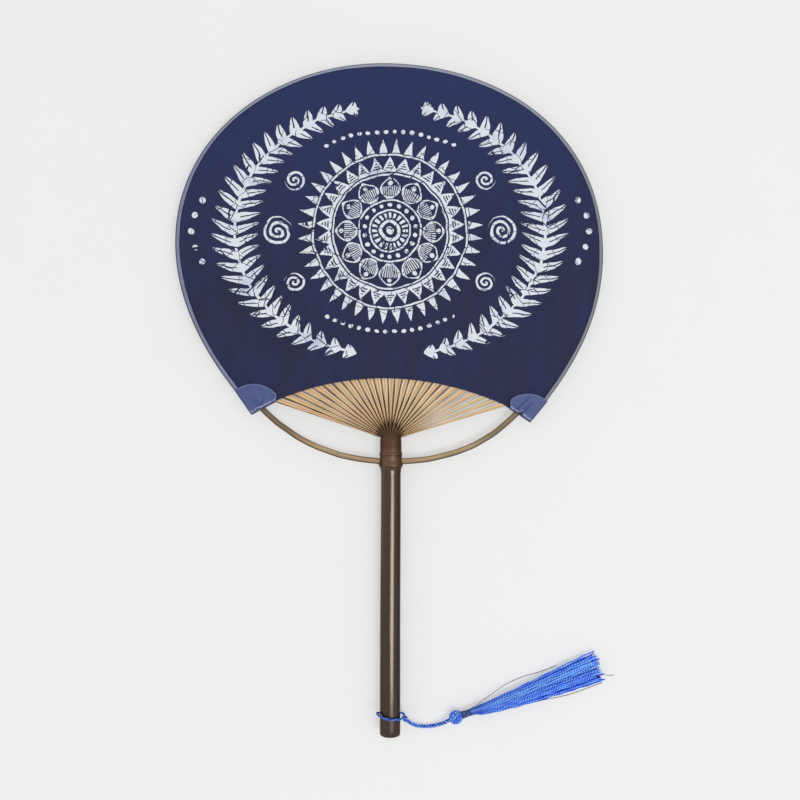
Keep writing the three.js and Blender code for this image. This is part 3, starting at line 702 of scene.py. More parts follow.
def rib_material():
    """Split bamboo: tan with long fibres, brown near the culm, with painted shade on the split sides and the
    back, and a painted highlight along the edge towards the middle rib.
    """
    surface = Surface("split_bamboo", (0.60, 0.34, 0.145))
    along, across, inward = map(surface.attribute, ("along", "across", "inward"))
    seed, side, skin = map(surface.attribute, ("seed", "side", "skin"))
    fibre = surface.noise((along * 0.035, across * 3.0, seed * 37.0), 1.0, 4.0, 0.65)
    hair = surface.noise((along * 0.05, across * 9.0, seed * 91.0), 1.0, 2.0)
    hue = surface.noise((seed * 83.0, along * 0.01, 7.0), 1.0, 1.0)
    # A painted highlight along each rib's edge towards the middle rib, growing from 10 to 34 mm out.
    pale = inward.ease(0.25, 0.9) & along.ease(10.0, 34.0)
    surface.coat(seed, (0.80, 0.54, 0.29))
    surface.coat(hue.ease(0.5, 0.62) * 0.5, (0.62, 0.47, 0.21))
    surface.coat(~hue.ease(0.36, 0.48) * 0.45, (0.74, 0.44, 0.27))
    surface.coat(fibre.ease(0.4, 0.68) * 0.7, (0.82, 0.62, 0.38))
    surface.coat(hair.ease(0.55, 0.8) * 0.6, (0.25, 0.13, 0.06))
    surface.coat(pale * 0.75, (0.93, 0.82, 0.64))
    # Painted shade on the split sides and the back.
    surface.coat(side, (0.034, 0.015, 0.007))
    surface.coat(skin * (fibre * 0.3 + 0.75), (0.115, 0.060, 0.033))
    surface.set(specular_ior_level=~side * 0.25)
    return surface.finish(fibre * 0.3 + 0.38, fibre + hair * 0.6, 0.12)


def bow_material():
    """Bamboo stick: tan skin, reddish by the culm, olive at the right, dark at its tips, with painted shade
    along both its edges.
    """
    surface = Surface("bamboo_bow_skin", (0.27, 0.19, 0.105), specular_ior_level=0.3)
    along, across, out = map(surface.attribute, ("along", "around", "out"))
    fibre = surface.noise((along * 0.04, out * 2.5, across * 4.0), 1.0, 4.0, 0.6)
    blotch = surface.noise((along * 0.08, 0.0, 5.0), 1.0, 3.0)
    # Painted shade along both edges of the stick, darker on the outer one.
    edges = out.ease(0.15, 0.75) * 0.92 | ~out.ease(-0.95, -0.5) * 0.6
    surface.coat(fibre.ease(0.35, 0.65), (0.50, 0.355, 0.19))
    surface.coat(abs(along).ease(40.0, 60.0) * 0.5, (0.20, 0.145, 0.075))
    surface.coat(along.ease(38.0, 62.0) * 0.75, (0.17, 0.145, 0.078))
    surface.coat(~abs(along).ease(8.0, 30.0) * 0.5, (0.38, 0.22, 0.11))
    surface.coat(blotch.ease(0.5, 0.75) * 0.4, (0.30, 0.18, 0.085))
    surface.coat(~along.ease(-64.0, -50.0) * 0.6, (0.105, 0.075, 0.040))
    surface.coat(edges, (0.060, 0.038, 0.017))
    return surface.finish(fibre * 0.25 + 0.33, fibre, 0.08)


def plug_material():
    """End grain: brown wood with dark pores."""
    surface = Surface("plug_end_grain", (0.26, 0.15, 0.07))
    x, y, z = surface.place()
    pores = surface.cells((x, y * 0.1, z), 3.0, "F1").ease(0.1, 0.35)
    tone = surface.noise((x, y * 0.1, z), 0.9, 3.0)
    surface.coat(tone, (0.45, 0.29, 0.15))
    surface.coat(~pores * 0.6, (0.12, 0.06, 0.03))
    return surface.finish(tone * 0.2 + 0.65, pores + tone, 0.08)


def dimmed(color, share):
    return tuple(share * part for part in color)


def yarn_material(name, dark, light, twist, shade=0.12, shaded_root=0.1, **settings):
    """Twisted yarn: each strand is painted with highlights and shade that run round it with its twist, and
    with shade away from its crest, and may start with a shaded root.
    """
    surface = Surface(name, dark, **settings)
    along, around, crest, seed = map(surface.attribute, ("along", "around", "crest", "seed"))
    # Painted highlights and shade that run round each strand with its twist.
    ply_shading = (around + along / twist + seed * 3.0).wave(1.0)
    tone = surface.noise((along * 0.25, around * 2.0, seed * 53.0), 1.0, 3.0)
    # Painted shade at the start of each strand.
    root = ~along.ease(shaded_root * 0.3, shaded_root) * (~seed * 0.8 + 0.1)
    surface.coat(ply_shading * 0.8 + (tone - 0.5) * 0.9 + seed * 0.5 - 0.12, light)
    surface.coat(root, dimmed(dark, 0.25))
    # Painted shade away from each strand's crest.
    surface.coat(~crest, dimmed(dark, shade))
    return surface.finish(tone * 0.3 + 0.3, ply_shading, 0.2)


# Camera: straight down, at the photograph's distance
CAMERA_AIM = (6.0, -0.5)
CAMERA_HEIGHT = 520.0
VIEW_WIDTH = 482.0  # millimetres across the picture at the leaf
SENSOR = 36.0


def add_camera():
    data = bpy.data.cameras.new("camera")
    data.sensor_width = SENSOR
    data.lens = SENSOR * (CAMERA_HEIGHT - AXIS_HEIGHT) / VIEW_WIDTH
    camera = add_object("camera", data)
    camera.location = (CAMERA_AIM[0] * MM, CAMERA_AIM[1] * MM, CAMERA_HEIGHT * MM)
    bpy.context.scene.camera = camera


# Cords
def rope(route, diameter, strands, lay, sides):
    """Strands twisted round each other along a route, and the line that they are twisted on."""
    shape = Shape()
    centre = resample(route, int(length_of(route) / STRAND_STEP))
    across, up = frames(centre)
    strand_radius = diameter / (2 + 2 / math.sin(math.pi / strands))
    lay_radius = diameter / 2 - strand_radius
    for strand in range(strands):
        angle = TURN * (travel_of(centre) / lay + strand / strands)[:, None]
        path = centre + lay_radius * (np.cos(angle) * across + np.sin(angle) * up)
        # Painted shade in the grooves between the strands.
        shape.tube(path, strand_radius * 1.06, sides, wound_on=centre, seed=strand / strands)
    return shape, centre


def knot_line():
    """A trefoil: the line of an overhand knot pulled tight."""
    t = np.linspace(0, TURN, 140)
    x = np.sin(t) + 2 * np.sin(2 * t)
    y = np.cos(t) - 2 * np.cos(2 * t)
    z = -1.4 * np.sin(3 * t)
    return np.stack([x, y, z], axis=1) * (KNOT_SIZE / 3) + KNOT_CENTRE


def add_cords():
    cord = yarn_material(
        "twisted_cord", (0.008, 0.055, 0.95), (0.32, 0.66, 1.0), 2.2, 0.2, specular_ior_level=0.25,
    )
    shape, line = rope(LOOP_ROUTE, LOOP_DIAMETER, 2, 3.2, 8)
    loop = add_piece(shape.build("hanging_loop_cord"), cord, "fan", "hanging_loop")
    # The whole knot is painted partly in shade, as its crest is set below 1.
    shape = Shape().tube(knot_line(), KNOT_CORD_RADIUS, 10, seed=0.1, crest=0.6)
    knot = add_piece(shape.build("loop_knot_tied"), cord, "knot", "loop_knot")

    shape, line = rope(TASSEL_CORD_ROUTE, TASSEL_CORD_DIAMETER, 3, 6.0, 10)
    tassel_cord = add_piece(shape.build("tassel_cord_rope"), cord, "cord", "tassel_cord")
    tassel_head = [add_knob(cord), add_neck()]


# Tassel, about the knob's centre with X along it
def tassel_points(points):
    x, y, z = np.moveaxis(np.asarray(points, float), -1, 0)
    c, s = direction(TASSEL_DIRECTION)
    return np.stack([x * c - y * s, x * s + y * c, z], axis=-1) + KNOB_CENTRE


def about_axis(x, radius, angle):
    return np.stack([x, radius * np.cos(angle), radius * np.sin(angle)], axis=1)


def add_knob(material):
    """A ball of folded strands that slant from the cord to the neck."""
    shape = Shape()
    latitude = np.radians(np.linspace(-84, 84, 40))
    x = (KNOB_HALF_LENGTH - KNOB_STRAND_RADIUS) * np.sin(latitude)
    radius = KNOB_RADIUS - KNOB_STRAND_RADIUS
    thick = 0.25 + (KNOB_STRAND_RADIUS - 0.25) * np.cos(latitude) ** 0.8
    for strand in range(KNOB_STRANDS):
        around = TURN * strand / KNOB_STRANDS - latitude * 0.75
        line = tassel_points(about_axis(x, radius * np.cos(latitude), around))
        # Painted shade in the grooves between the strands, which face away from the knob's centre.
        shape.tube(line, thick, 10, wound_on=np.array(KNOB_CENTRE), seed=rng.random())
    core = tassel_points(about_axis(x, 0.0, latitude))
    shape.tube(core, (radius - 0.25) * np.cos(latitude), 20, seed=0.5)
    return add_piece(shape.build("tassel_knob_wound"), material, "tassel", "tassel_knob")


def add_neck():
    """Thread wound round the strands below the knob."""
    material = yarn_material(
        "neck_wound_thread", (0.014, 0.026, 0.15), (0.18, 0.28, 0.72), 2.4, specular_ior_level=0.4,
    )
    t = np.linspace(0, 1, NECK_TURNS * 24)
    waist = NECK_RADIUS - NECK_THREAD_RADIUS - NECK_WAIST * np.sin(math.pi * t) ** 0.7
    line = about_axis(NECK_START + NECK_LENGTH * t, waist, TURN * NECK_TURNS * t)
    axis = tassel_points(line * (1, 0, 0))
    # Painted shade on the thread's sides, away from its crest.
    shape = Shape().tube(tassel_points(line), NECK_THREAD_RADIUS, 8, wound_on=axis, seed=0.2)
    core_x = np.linspace(NECK_START - 0.8, NECK_START + NECK_LENGTH + 0.3, 12)
    core_radius = NECK_RADIUS - NECK_WAIST - 2 * NECK_THREAD_RADIUS + 0.2
    shape.tube(tassel_points(about_axis(core_x, 0.0, 0 * core_x)), core_radius, 20, seed=0.6)
    neck = shape.build("tassel_neck_winding")
    return add_piece(neck, material, "tassel", "tassel_neck_binding")


def skirt_section(share):
    """Centre height, half width and half height of the skirt along its length."""
    gathered = 2 * NECK_RADIUS - 0.9 * (1 - smoothstep(share, 0.0, 0.03))
    half_width = lerp(gathered, SKIRT_END_WIDTH, np.clip(share, 0, 1.1) ** SKIRT_FLARE) / 2
    belly = SKIRT_BELLY * np.sin(math.pi * np.clip(share, 0, 1))
    half_height = lerp(2 * NECK_RADIUS, SKIRT_END_HEIGHT, share) / 2 + belly
    lying = SKIRT_FLOOR + half_height
    lifted = -(SKIRT_FLOOR + NECK_RADIUS)
    return lying + lifted * (1 - share) ** 2, half_width, half_height


def add_skirt():
    # Painted shade on the strands near the neck, fading out by 14 mm.
    material = yarn_material(
        "tassel_rayon_yarn", (0.006, 0.055, 1.0), (0.33, 0.76, 1.0), 1.7, 0.85, shaded_root=14.0,
        specular_ior_level=0.35,
    )
    shape = Shape()
    golden = math.pi * (3 - math.sqrt(5))
    for strand in range(SKIRT_STRANDS):
        across, up = math.sqrt((strand + 0.5) / SKIRT_STRANDS) * direction(strand * golden)
        reach = rng.normal(1.0, 0.02) - 0.03 * rng.random() ** 4
        share = np.linspace(-0.03, reach, SKIRT_STEPS)
        inside = np.clip(share, 0, 1)
        lift, half_width, half_height = skirt_section(np.maximum(share, 0))
        drift = rng.normal(0, 0.09, 2) * inside[:, None] ** 1.5
        wave = rng.uniform(0, TURN, 2)
        pace = rng.uniform(5, 9, 2)
        kink = 0.16 * np.sin(TURN * pace * share[:, None] + wave) * smoothstep(share, 0.02, 0.3)[:, None]
        thick = lerp(0.24, rng.uniform(0.34, 0.46), smoothstep(share, 0, 0.7))
        side = np.clip(across + drift[:, 0], -1.08, 1.08)
        top = np.clip(up + drift[:, 1], -1, 1.04)
        sag = SKIRT_SAG * np.sin(math.pi * inside ** 0.5)
        y = side * (half_width - thick) + kink[:, 0] - sag
        z = np.maximum(lift + top * (half_height - thick) + kink[:, 1], SKIRT_FLOOR + thick)
        line = np.stack([SKIRT_START + SKIRT_LENGTH * share, y, z], axis=1)
        # The strands' crests face out from the skirt's middle, and are painted in shade on the side towards
        # it.
        outward = unit(np.stack([0 * share, side / half_width, top / half_height], axis=1))
        core = tassel_points(line - outward)
        shape.tube(tassel_points(line), thick, 8, wound_on=core, seed=rng.random())
    add_piece(shape.build("tassel_skirt_strands"), material, "tassel", "tassel_skirt")


# Loose strands: one bows out above the skirt, one runs below it, one stands out past its end
STRAY_ROUTES = [
    [(11, 1.6, 0.5), (22, 4.9, -1.0), (34, 7.6, -2.6),
     (46, 8.4, STRAY_LEVEL), (57, 7.9, STRAY_LEVEL), (68, 8.0, STRAY_LEVEL)],
    [(12, -2.0, 0), (30, -5.9, -1.6),
     (52, -9.0, STRAY_LEVEL), (70, -11.2, STRAY_LEVEL), (91, -11.0, STRAY_LEVEL)],
    [(70, -3.0, 0.4), (84, -4.4, -0.2), (92, -5.6, -1.6), (97.5, -8.6, -3.2), (99.5, -9.0, STRAY_LEVEL)],
]
STRAY_RADII = (0.17, 0.17, 0.14)


def add_strays():
    shape = Shape()
    for route, radius in zip(STRAY_ROUTES, STRAY_RADII):
        shape.tube(tassel_points(resample(route, 40)), radius, 6, seed=rng.random())
    material = yarn_material("stray_yarn", (0.016, 0.013, 0.014), (0.075, 0.060, 0.050), 1.7)
    add_piece(shape.build("tassel_skirt_strays"), material, "tassel", "tassel_skirt")


# Leaf
def side_line(side, corner, crown_round):
    """The rim from its crown down one side to the corner."""
    crown = np.array((CROWN["offset"], FAN_LENGTH))
    widest = np.array((side["x"], side["height"]))
    point = np.array(corner["point"])
    flank = point + corner["flank_round"] * direction(math.radians(corner["flank_angle"]))
    above, below = widest + (0, side["round_above"]), widest - (0, side["round_below"])
    upper = bezier([crown, crown + (crown_round, 0), above, widest], RIM_STEPS_PER_CURVE + 1)
    lower = bezier([widest, below, flank, point], RIM_STEPS_PER_CURVE + 1)
    return np.vstack([upper, lower[1:]])


def inward_of(line):
    along = unit(np.gradient(line, axis=0))
    return np.stack([along[:, 1], -along[:, 0]], axis=1)


def arch(count):
    control = 2 * np.array(ARCH_APEX) - 0.5 * np.array(LEFT_ARCH_END) - 0.5 * np.array(RIGHT_ARCH_END)
    return bezier([LEFT_ARCH_END, control, RIGHT_ARCH_END], count)


RIM = np.vstack([
    side_line(LEFT_SIDE, LEFT_CORNER, -CROWN["round_left"])[::-1],
    side_line(RIGHT_SIDE, RIGHT_CORNER, CROWN["round_right"])[1:],
])
RIM_INWARD = inward_of(RIM)
LOWER_EDGE = np.vstack([
    bezier([LEFT_CORNER["point"], LEFT_ARCH_END], 40)[:-1],
    arch(160),
    bezier([RIGHT_ARCH_END, RIGHT_CORNER["point"]], 40)[1:],
])


def polar(line):
    """Angle from the handle's axis and distance, both from the point that the ribs fan out from."""
    offset = line - RIB_CENTRE
    return np.arctan2(offset[:, 0], offset[:, 1]), np.linalg.norm(offset, axis=1)


def reach_to(line, angles):
    return np.interp(angles, *polar(line))


def rib_share(index):
    share = index / MIDDLE_RIB - 1
    return (1 + RIB_CROWDING) * share - RIB_CROWDING * share ** 3


def rib_angle(index):
    return np.radians(RIB_LEAN + RIB_SPREAD * rib_share(index))


def leaf_columns():
    """Angles of the cloth's columns, and how far each lies from the middle of its rib, in pitches."""
    left, right = polar(RIM)[0][[0, -1]]
    index = np.linspace(0, RIB_COUNT - 1, (RIB_COUNT - 1) * COLUMNS_PER_RIB + 1)
    inner = rib_angle(index)
    angles = np.concatenate([
        np.linspace(left, inner[0], CORNER_COLUMNS, endpoint=False)[1:],
        inner,
        np.linspace(inner[-1], right, CORNER_COLUMNS + 1)[1:-1],
    ])
    off = np.full(len(angles), 0.5)
    off[CORNER_COLUMNS - 1:CORNER_COLUMNS - 1 + len(index)] = np.abs(index - np.round(index))
    return angles, off


def add_cloth(side, name, material, node):
    """A cloth face glued over the ribs: it sags a little between them."""
    angles, off = leaf_columns()
    near = reach_to(LOWER_EDGE, angles)
    far = reach_to(RIM + RIM_INWARD * CLOTH_INSET, angles)
    keep = far - near > CLOTH_LEAST_LENGTH
    angles, off, near, far = angles[keep], off[keep], near[keep], far[keep]
    share = np.linspace(0, 1, CLOTH_ROWS)[:, None]
    out = lerp(near, far, share)
    sag = CLOTH_SAG * smoothstep(off, 0.22, 0.5) * smoothstep(1 - share, 0.0, 0.04)
    ripple = 0.03 * np.sin(out / 9.0 + 3.0 * off) * smoothstep(off, 0.3, 0.5)
    x = RIB_CENTRE[0] + out * np.sin(angles)
    y = RIB_CENTRE[1] + out * np.cos(angles)
    z = side * (CLOTH_OUTER - sag + ripple)
    obj = Shape().sweep(np.stack([x, y, z], axis=-1), closed=False).build(name)
    thicken(obj, CLOTH_THICKNESS, 0, side)
    add_piece(obj, material, "fan", node)


def add_tape():
    """Tape folded over the rim, puckered a little along its inner edges."""
    top, under = TAPE_OUTER, TAPE_OUTER - TAPE_THICKNESS
    half = [
        (TAPE_WIDTH, under), (TAPE_WIDTH + 0.02, top - 0.12), (TAPE_WIDTH - 0.1, top), (1.9, top + 0.02),
        (1.0, top + 0.02), (0.7, top - 0.03), (0.4, top - 0.13), (0.14, top - 0.4), (0.0, top - 0.9),
        (0.0, 0.0),
    ]
    inner = [(0.3, 0.0), (0.3, 1.1), (0.5, 1.45), (1.2, under)]
    outside = half + [(a, -z) for a, z in half[-2::-1]]
    inside = [(a, -z) for a, z in inner[:0:-1]] + inner
    depth, height = np.transpose(outside + inside)
    # Painted shade along the tape's folded outer edge.
    fold = 1 - smoothstep(depth, 0.4, 0.85)
    fold[len(outside):] = 0
    travel = travel_of(RIM)[:, None]
    waves = ((1.3, 0.0), (2.1, 1.1), (3.7, 2.5))
    pucker = sum(np.sin(travel * pace + phase) for pace, phase in waves) / 3
    narrowing = np.interp(travel / travel[-1], *np.transpose(TAPE_NARROWING))
    loose = np.clip((depth - 1.2) / 1.6, 0, 1) * np.sign(height)
    wander = 0.12 * np.sin(travel / 11.0) + 0.06 * np.sin(travel / 3.7)
    inset = depth - narrowing * np.clip((depth - 1.0) / (TAPE_WIDTH - 1.0), 0, 1) + wander * np.abs(loose)
    plan = RIM[:, None, :] + RIM_INWARD[:, None, :] * inset[:, :, None]
    rings = np.concatenate([plan, (height + 0.05 * pucker * loose)[:, :, None]], axis=2)
    around = circle(len(depth)) / TURN
    tape = Shape().sweep(rings, along=travel, around=around, fold=fold).build("rim_binding_tape", 60)
    add_piece(tape, tape_material(), "fan", "rim_binding")


def bow_point(share):
    angle = share * BOW_ANGLE
    arc_rise = BOW_RADIUS * (1 - math.cos(angle))
    rise = BOW_RISE * (arc_rise / BOW_RISE) ** BOW_FLATTENING
    lift = BOW_RIGHT_LIFT * smoothstep(share, 0.55, 1.0)
    return np.array((BOW_OFFSET + BOW_RADIUS * math.sin(angle), BOW_HEIGHT + rise + lift))


def square_to(along, towards):
    """The direction square to another one in the leaf's plane, on the side that a third points to."""
    across = np.array((-along[1], along[0]))
    return across * math.copysign(1.0, across @ towards)


def add_patch(arch_end, cloth, name, material, node):
    """A round patch folded over a corner like a sock, drawn up and notched where the bow goes in."""
    tip = np.array(cloth["corner"])
    flank_angle = math.radians(cloth["flank_angle"])
    flank = direction(flank_angle)
    lower = unit(np.array(arch_end) - tip)
    out_of_flank, out_of_lower = square_to(flank, -lower), square_to(lower, -flank)
    side = math.copysign(1.0, tip[0])
    bow_tip = bow_point(side)
    bow_along = unit(bow_tip - bow_point(0.85 * side))
    bow_across = square_to(bow_along, flank - lower)
    path = np.array([bow_point(share * side) for share in np.linspace(0.8, 1, 120)])
    entry = path[int(np.argmin(np.abs((path - tip) @ out_of_lower)))]
    notch_at = (entry - tip) @ lower - NOTCH_ASIDE

    blend = np.linspace(0, 1, PATCH_RAYS)
    angles = lerp(flank_angle, math.atan2(lower[1], lower[0]), blend)
    rays = np.stack([np.cos(angles), np.sin(angles)], axis=1)
    along_rim, middle, along_arch = cloth["radii"]
    bow_out = middle - (along_rim + along_arch) / 2
    full = lerp(along_rim, along_arch, blend) + 4 * blend * (1 - blend) * bow_out
    full = full - cloth["rounding"] * smoothstep(blend, cloth["round_from"], 1.0) ** 2
    turn = np.linspace(0, math.pi, PATCH_WRAP_STEPS + 2)[1:-1]
    bend = PATCH_EDGE * np.sin(turn)[:, None]
    wrap = ((1 - np.cos(turn)) / 2)[:, None]
    flat = np.ones(PATCH_RAYS)
    height = PATCH_OUTER * np.concatenate([flat, np.cos(turn), -flat, -np.cos(turn)])
    rings, edge, fold, hem = [], [], [], []
    for out in np.linspace(0, 1, PATCH_STEPS) ** 0.9:
        back = tip + lerp(0.15, full, out)[:, None] * rays + np.array(cloth["tip"]) * (1 - out) ** 1.5
        from_lower = np.maximum(-(back - tip) @ out_of_lower, 0)
        notch = hump((back - tip) @ lower - notch_at, NOTCH_WIDTH) * np.exp(-from_lower / 3.0)
        notch = cloth["notch"] * notch
        front = back - notch[:, None] * out_of_lower
        lower_wrap = lerp(front[-1], back[-1], wrap) + out_of_lower * bend
        flank_wrap = front[0] + out_of_flank * bend
        plan = np.vstack([front, lower_wrap, back[::-1], flank_wrap])
        beside = (plan - bow_tip) @ bow_across
        before = -(plan - bow_tip) @ bow_along
        gap = np.linalg.norm(plan - entry, axis=1)
        swirl = np.arctan2(*(plan - entry).T[::-1])
        bulge = 0.6 * hump(beside, 2.0) * smoothstep(before, -6.0, 1.5)
        pleat = 0.75 * hump(beside - NOTCH_ASIDE, 0.55) + 0.3 * hump(beside + NOTCH_ASIDE, 0.6)
        pleat = pleat * smoothstep(before, -3.0, 2.5)
        pucker = 0.7 * np.sin(7 * swirl + side) * np.exp(-gap / 3.6) * smoothstep(gap, 0.4, 2.0)
        lift = bulge - pleat + pucker - 0.35 * smoothstep(1 - out, 0.75, 1.0)
        rings.append(np.column_stack([plan, height * (1 + lift / PATCH_OUTER)]))
        to_flank = -(plan - tip) @ out_of_flank
        to_lower = -(plan - tip) @ out_of_lower
        to_lower[:PATCH_RAYS] -= notch
        edge.append(np.full(len(plan), smoothstep(out, 0.94, 1.0)))
        # Painted shade along the flank and lower edges, and a painted highlight just inside the lower edge
        # near the bow.
        fold.append(1 - smoothstep(np.minimum(to_flank, to_lower), 0.05, 0.65))
        hem.append(hump(to_lower - 1.1, 0.45) * smoothstep(gap, 14.0, 5.0))
    obj = Shape().sweep(rings, capped=False, edge=edge, fold=fold, hem=hem).build(name, 70)
    face_on_front = PATCH_RAYS // 2 + len(height) * 12
    thicken(obj, PATCH_THICKNESS, face_on_front, 1)
    add_piece(obj, material, "fan", node)


# Handle, bow and ribs
def add_culm():
    stretches = ((CULM_BOTTOM, CULM_NODE[0], 60), (*CULM_NODE, 110), (CULM_NODE[1], CULM_TOP, 40))
    heights = np.unique(np.concatenate([np.linspace(*stretch) for stretch in stretches]))
    fine = np.linspace(heights[0], heights[-1], 1600)
    kernel = np.exp(-(np.linspace(-2, 2, 9) ** 2))
    padded = np.pad(np.interp(fine, *np.transpose(CULM_PROFILE)), 4, mode="edge")
    radius = np.interp(heights, fine, np.convolve(padded, kernel / kernel.sum(), mode="valid"))
    socket_end = PLUG_RECESS + PLUG_LENGTH + 0.2
    bottom = [
        (socket_end, AXIS), (socket_end, CULM_BORE), (0.25, CULM_BORE), (0.0, CULM_BORE + 0.3),
        (0.0, 5.4), (0.12, 5.85), (0.4, 6.1),
    ]
    top = [
        (CULM_TOP + 0.1, 3.4), (CULM_TOP - 0.5, CULM_BORE), (CULM_FLOOR, CULM_BORE), (CULM_FLOOR, AXIS),
    ]
    profile = np.array(bottom + list(zip(heights, radius)) + top)
    rings = turned(profile, CULM_SIDES)
    level = profile[:, :1]
    angle = circle(CULM_SIDES)
    rings[..., ::2] *= (1 + 0.006 * np.sin(2 * angle + 0.6) + 0.004 * np.sin(3 * angle))[:, None]
    rings[..., 0] *= 1 + CULM_FLATNESS * smoothstep(level, 155, 163)
    rings[..., 0] += 0.12 * np.sin(level / 60.0) + CULM_LEAN * smoothstep(level, 60, 160)
    culm = Shape().sweep(rings).build("handle_culm_lacquered", 35)
    hole = Shape().tube([(x, CORD_HOLE_HEIGHT, 0) for x in (-15, 0, 15)], CORD_HOLE_RADIUS, 24)
    cut(culm, hole.build("cord_hole"))
    cut(culm, bow_shape(BOW_HOLE_GAP).build("bow_hole"))
    smooth(culm.data, 35)
    add_piece(culm, culm_material(), "fan", "handle_culm")


def add_plug():
    low, high = PLUG_RECESS, PLUG_RECESS + PLUG_LENGTH
    profile = [
        (low - 0.06, AXIS), (low - 0.05, 1.5), (low, PLUG_RADIUS - 0.25), (low + 0.2, PLUG_RADIUS),
        (high - 0.2, PLUG_RADIUS), (high, PLUG_RADIUS - 0.2), (high, AXIS),
    ]
    plug = Shape().sweep(turned(profile, PLUG_SIDES)).build("handle_end_peg")
    add_piece(plug, plug_material(), "fan", "handle_end_plug")


def rounded_box(sides):
    """A section between a circle and a square, 2 wide and 2 high."""
    round_section = np.stack([np.cos(circle(sides)), np.sin(circle(sides))], axis=1)
    return np.sign(round_section) * np.abs(round_section) ** 0.55


def bow_shape(clearance):
    """The bow, or the hole for it when it is grown by a clearance."""
    shares = np.linspace(-1, 1, 121)
    box = rounded_box(20)
    rings = []
    for share in shares:
        turn = share * BOW_ANGLE
        inward = np.array((-math.sin(turn), math.cos(turn)))
        width = lerp(BOW_WIDTH, BOW_TIP_WIDTH, abs(share)) / 2 + clearance
        thick = lerp(BOW_THICKNESS, BOW_TIP_THICKNESS, abs(share)) / 2 + clearance
        wander = 0.07 * math.sin(share * 23) + 0.05 * math.sin(share * 41 + 1)
        plan = bow_point(share) + inward * wander + np.outer(box[:, 0] * width, inward)
        rings.append(np.column_stack([plan, box[:, 1] * thick]))
    along = (shares * BOW_REACH)[:, None]
    return Shape().sweep(rings, along=along, around=circle(len(box)) / TURN, out=-box[:, 0])


def rib_pitch(index):
    outer = min(MIDDLE_RIB + abs(index - MIDDLE_RIB) + 1, RIB_COUNT - 1)
    return float(rib_angle(outer) - rib_angle(outer - 1))


# Across, up, and how much painted shade: the crest first, then the split sides and the back
RIB_SECTION = np.array([
    (-0.94, 0.95, 0.1), (-0.5, 1.08, 0.0), (-0.08, 1.14, 0.0), (0.06, 0.98, 0.5), (0.5, 1.08, 0.0),
    (0.94, 0.95, 0.1), (1.08, 0.7, 0.85), (1.0, -0.25, 1.0), (1.0, -0.8, 1.0), (0.9, -1.0, 0.5),
    (0.0, -1.08, 0.2), (-0.9, -1.0, 0.5), (-1.0, -0.8, 1.0), (-1.0, -0.25, 1.0), (-1.08, 0.7, 0.85),
])
RIB_ON_CREST = RIB_SECTION[:, 1] > 0.5


def add_rib(index, material):
    """A splint that leaves the culm's front or back wall, in turn, and runs straight out to the rim."""
    angle = float(rib_angle(index))
    along = np.array((math.sin(angle), math.cos(angle), 0.0))
    across = np.array((math.cos(angle), -math.sin(angle), 0.0))
    section_x, section_y, section_shade = RIB_SECTION.T
    side = -1 if (index - MIDDLE_RIB) % 2 else 1
    cloth = float(reach_to(LOWER_EDGE, angle))
    tip = float(reach_to(RIM + RIM_INWARD * RIB_TIP_INSET, angle))
    reaches = np.concatenate([np.linspace(RIB_START, cloth, 44), np.linspace(cloth, tip, 6)[1:]])
    to_right = index / (RIB_COUNT - 1)
    tone, lean = lerp(rng.random(), to_right, 0.4), rng.normal(0, 0.1)
    loose = smoothstep(rib_share(index), 0.6, 0.9)
    rings = []
    for reach in reaches:
        settled = smoothstep(reach, 0, RIB_FLAT_LENGTH)
        fill = lerp(RIB_FILL, RIB_LOOSE_FILL, loose * smoothstep(reach, 16, 30))
        rows = lerp(2.0, 1.0, smoothstep(reach, *RIB_MEET))
        width = fill * rows * rib_pitch(index) * min(reach, cloth)
        deep = smoothstep(reach, 3.0, 12.0) * smoothstep(cloth - reach, 2.0, 22.0)
        thick = lerp(RIB_THICKNESS, RIB_DEEP_THICKNESS, deep)
        crest = lerp(0.47, 0.76, smoothstep(reach, 8.0, 34.0))
        crest = crest * (1 + 0.08 * math.sin(reach * 0.33 + 5 * tone))
        local_x = np.where(RIB_ON_CREST, section_x * crest, section_x) * width / 2
        local_z = section_y * thick / 2 + local_x * lean * settled
        height = side * RIB_ROOT_HEIGHT * math.cos(angle) * (1 - settled)
        centre = np.array((*RIB_CENTRE, height)) + along * reach
        rings.append(centre + np.outer(local_x, across) + np.outer(local_z, (0, 0, 1)))
    skin = 1 - smoothstep((reaches - lerp(*RIB_SKIN, math.cos(angle))) / RIB_SKIN_FADE, 0, 1)
    inward = -math.copysign(lerp(0.75, 1.1, to_right), index - MIDDLE_RIB) * section_x
    # Painted shade on the split sides and the back, lighter on the loose ribs at the right.
    shape = Shape().sweep(
        rings, along=reaches[:, None], across=section_x, inward=inward, skin=skin[:, None], seed=tone,
        side=section_shade * (1 - 0.55 * loose),
    )
    node = f"rib_{index + 1:02d}"
    add_piece(shape.build(node + "_splint", 50), material, "fan", node)


